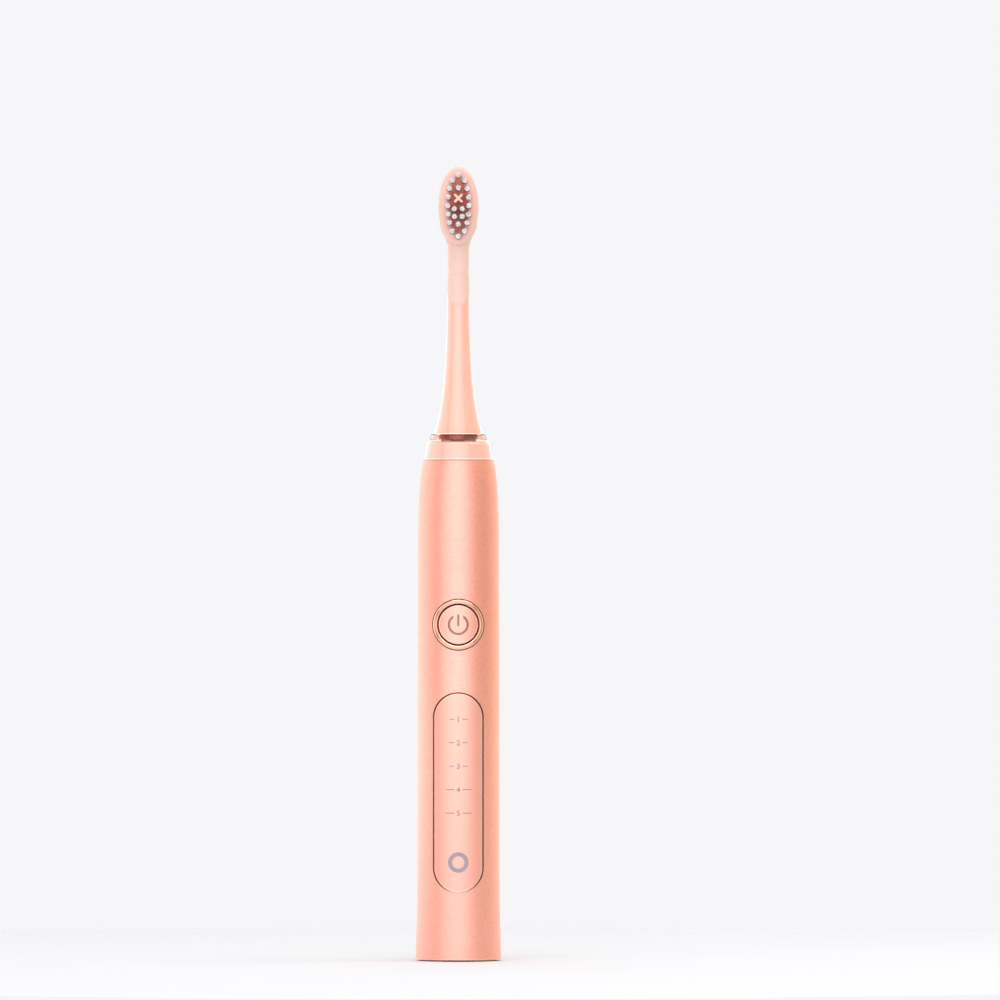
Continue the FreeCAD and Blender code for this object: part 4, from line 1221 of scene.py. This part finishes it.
# ---------------- studio
@dataclass
class SoftBox:
    """A large rectangular area light that looks at the toothbrush and isn't seen itself."""

    name: str
    azimuth: float  # degrees round the object from the front, to the right
    elevation: float
    distance: float
    width: float
    height: float
    power: float

    def make(self, target: Vector) -> None:
        """Place the light.

        Args:
            target: The point it looks at.
        """
        data = bpy.data.lights.new(self.name, "AREA")
        data.shape = "RECTANGLE"
        data.size = self.width
        data.size_y = self.height
        data.energy = self.power
        light = bpy.data.objects.new(self.name, data)
        a, e = math.radians(self.azimuth), math.radians(self.elevation)
        out = Vector((math.sin(a) * math.cos(e), -math.cos(a) * math.cos(e), math.sin(e)))
        light.location = target + out * self.distance
        light.rotation_euler = (-out).to_track_quat("-Z", "Y").to_euler()
        light.visible_camera = False
        bpy.context.scene.collection.objects.link(light)


@dataclass
class Studio:
    """Pale floor, soft light all round and a long lens straight in front."""

    floor_radius: float = 0.34
    floor_sides: int = 96
    floor_colour: str = "#dfdfe2"
    brightness: float = 2.0
    ceiling: float = 0.5  # light from above and below, as a share of the walls'
    wall_top: tuple[float, float] = (0.35, 0.9)  # sines of the slopes where walls end and ceiling starts
    backdrop: str = "#f6f6f9"
    lens: float = 500.0
    sensor: float = 36.0
    camera_spot: tuple[float, float, float] = (0.0131, -4.375, 0.14506)
    camera_sees: float = 50.0

    # light of the soft walls by direction, in degrees from the front, then how warm it is; dark
    # where two walls leave a gap, a little cool in front and a little warm on the right
    WALLS: ClassVar[tuple[tuple[float, float, float], ...]] = (
        (-180, 0.76, 0.0), (-125, 0.82, 0.0), (-100, 0.72, 0.0), (-76, 0.54, 0.0), (-66, 0.54, 0.0),
        (-64, 0.26, 0.0), (-56, 0.26, 0.0), (-54, 0.62, 0.0), (-34, 0.82, 0.0), (-12, 1.0, -0.12),
        (8, 0.98, -0.10), (26, 0.76, -0.08), (41, 0.54, 0.0), (43, 0.26, 0.0), (51, 0.26, 0.0),
        (53, 0.44, 0.08), (70, 0.36, 0.16), (84, 0.36, 0.16), (105, 0.46, 0.2), (130, 0.58, 0.1),
        (180, 0.76, 0.0),
    )

    def make_camera(self) -> None:
        """Stand the camera level, straight in front, far back."""
        data = bpy.data.cameras.new("camera")
        data.lens = self.lens
        data.sensor_width = self.sensor
        data.clip_end = self.camera_sees
        camera = bpy.data.objects.new("camera", data)
        camera.location = self.camera_spot
        camera.rotation_euler = (QUARTER, 0.0, 0.0)
        bpy.context.scene.collection.objects.link(camera)
        bpy.context.scene.camera = camera

    def make_floor(self) -> None:
        """Lay a round pale floor under the toothbrush."""
        form = bmesh.new()
        bmesh.ops.create_circle(form, cap_ends=True, segments=self.floor_sides, radius=self.floor_radius)
        floor = finished("floor", form)
        paint = Finish("floor_paint", self.floor_colour, 0.0, 0.9, grain_mm=4.0, mottle=0.01, mottle_mm=60.0)
        floor.data.materials.append(paint.material())
        floor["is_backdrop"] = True

    def make_world(self) -> None:
        """Light from all round: brightest in front, dimmer at the sides, bright again behind."""
        world = bpy.data.worlds.new("studio")
        world.use_nodes = True
        bpy.context.scene.world = world
        world.node_tree.nodes.clear()
        put = partial(add, world.node_tree)
        axes = put(SEPARATE, [put("ShaderNodeTexCoord").outputs["Generated"]]).outputs
        back = put(MATH, [axes["Y"], -1.0], "MULTIPLY")
        turn = put(MATH, [axes["X"], back], "ARCTAN2")
        share = put(MAP_RANGE, {"Value": turn, "From Min": -math.pi, "From Max": math.pi})
        walls = [
            ((angle + 180) / 360, (level, level, level * (1 - warmth), 1.0))
            for angle, level, warmth in self.WALLS
        ]
        level = ramp(put("ShaderNodeValToRGB", {"Fac": share}), walls)
        low, high = self.wall_top
        inputs = {
            "Value": put(MATH, [axes["Z"]], "ABSOLUTE"),
            "From Min": low,
            "From Max": high,
            "To Min": self.brightness,
            "To Max": self.brightness * self.ceiling,
        }
        strength = put(MAP_RANGE, inputs, interpolation_type="SMOOTHSTEP")
        lit = put("ShaderNodeBackground", {"Color": level, "Strength": strength})
        seen = put("ShaderNodeBackground", {"Color": self.backdrop, "Strength": 1.0})
        ray = put("ShaderNodeLightPath").outputs["Is Camera Ray"]
        put("ShaderNodeOutputWorld", {"Surface": put("ShaderNodeMixShader", [ray, lit, seen])})

    def make(self) -> None:
        """Make the camera, the floor and the light."""
        bpy.context.scene.view_settings.view_transform = "Standard"
        self.make_camera()
        self.make_floor()
        self.make_world()
        low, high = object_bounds()
        middle = (low + high) / 2
        SoftBox("overhead", -15, 62, 1.1, 0.9, 0.6, 3.0).make(middle)
        SoftBox("right_fill", 80, 55, 1.0, 0.8, 0.6, 3.0).make(middle)


def main() -> None:
    """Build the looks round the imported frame."""
    logging.basicConfig(level=logging.INFO, format="%(message)s")
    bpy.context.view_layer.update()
    wardrobe = Wardrobe()
    PackedParts().dress(wardrobe)
    head = BrushHead()
    made = (
        head.make_tufts(wardrobe),
        head.make_cross(wardrobe),
        PowerControl().make(wardrobe),
        ModeLegend().make(wardrobe),
    )
    for piece in made:
        log.info("%s: %d faces", piece.name, len(piece.data.polygons))
    Studio().make()


if __name__ == "__main__":
    main()
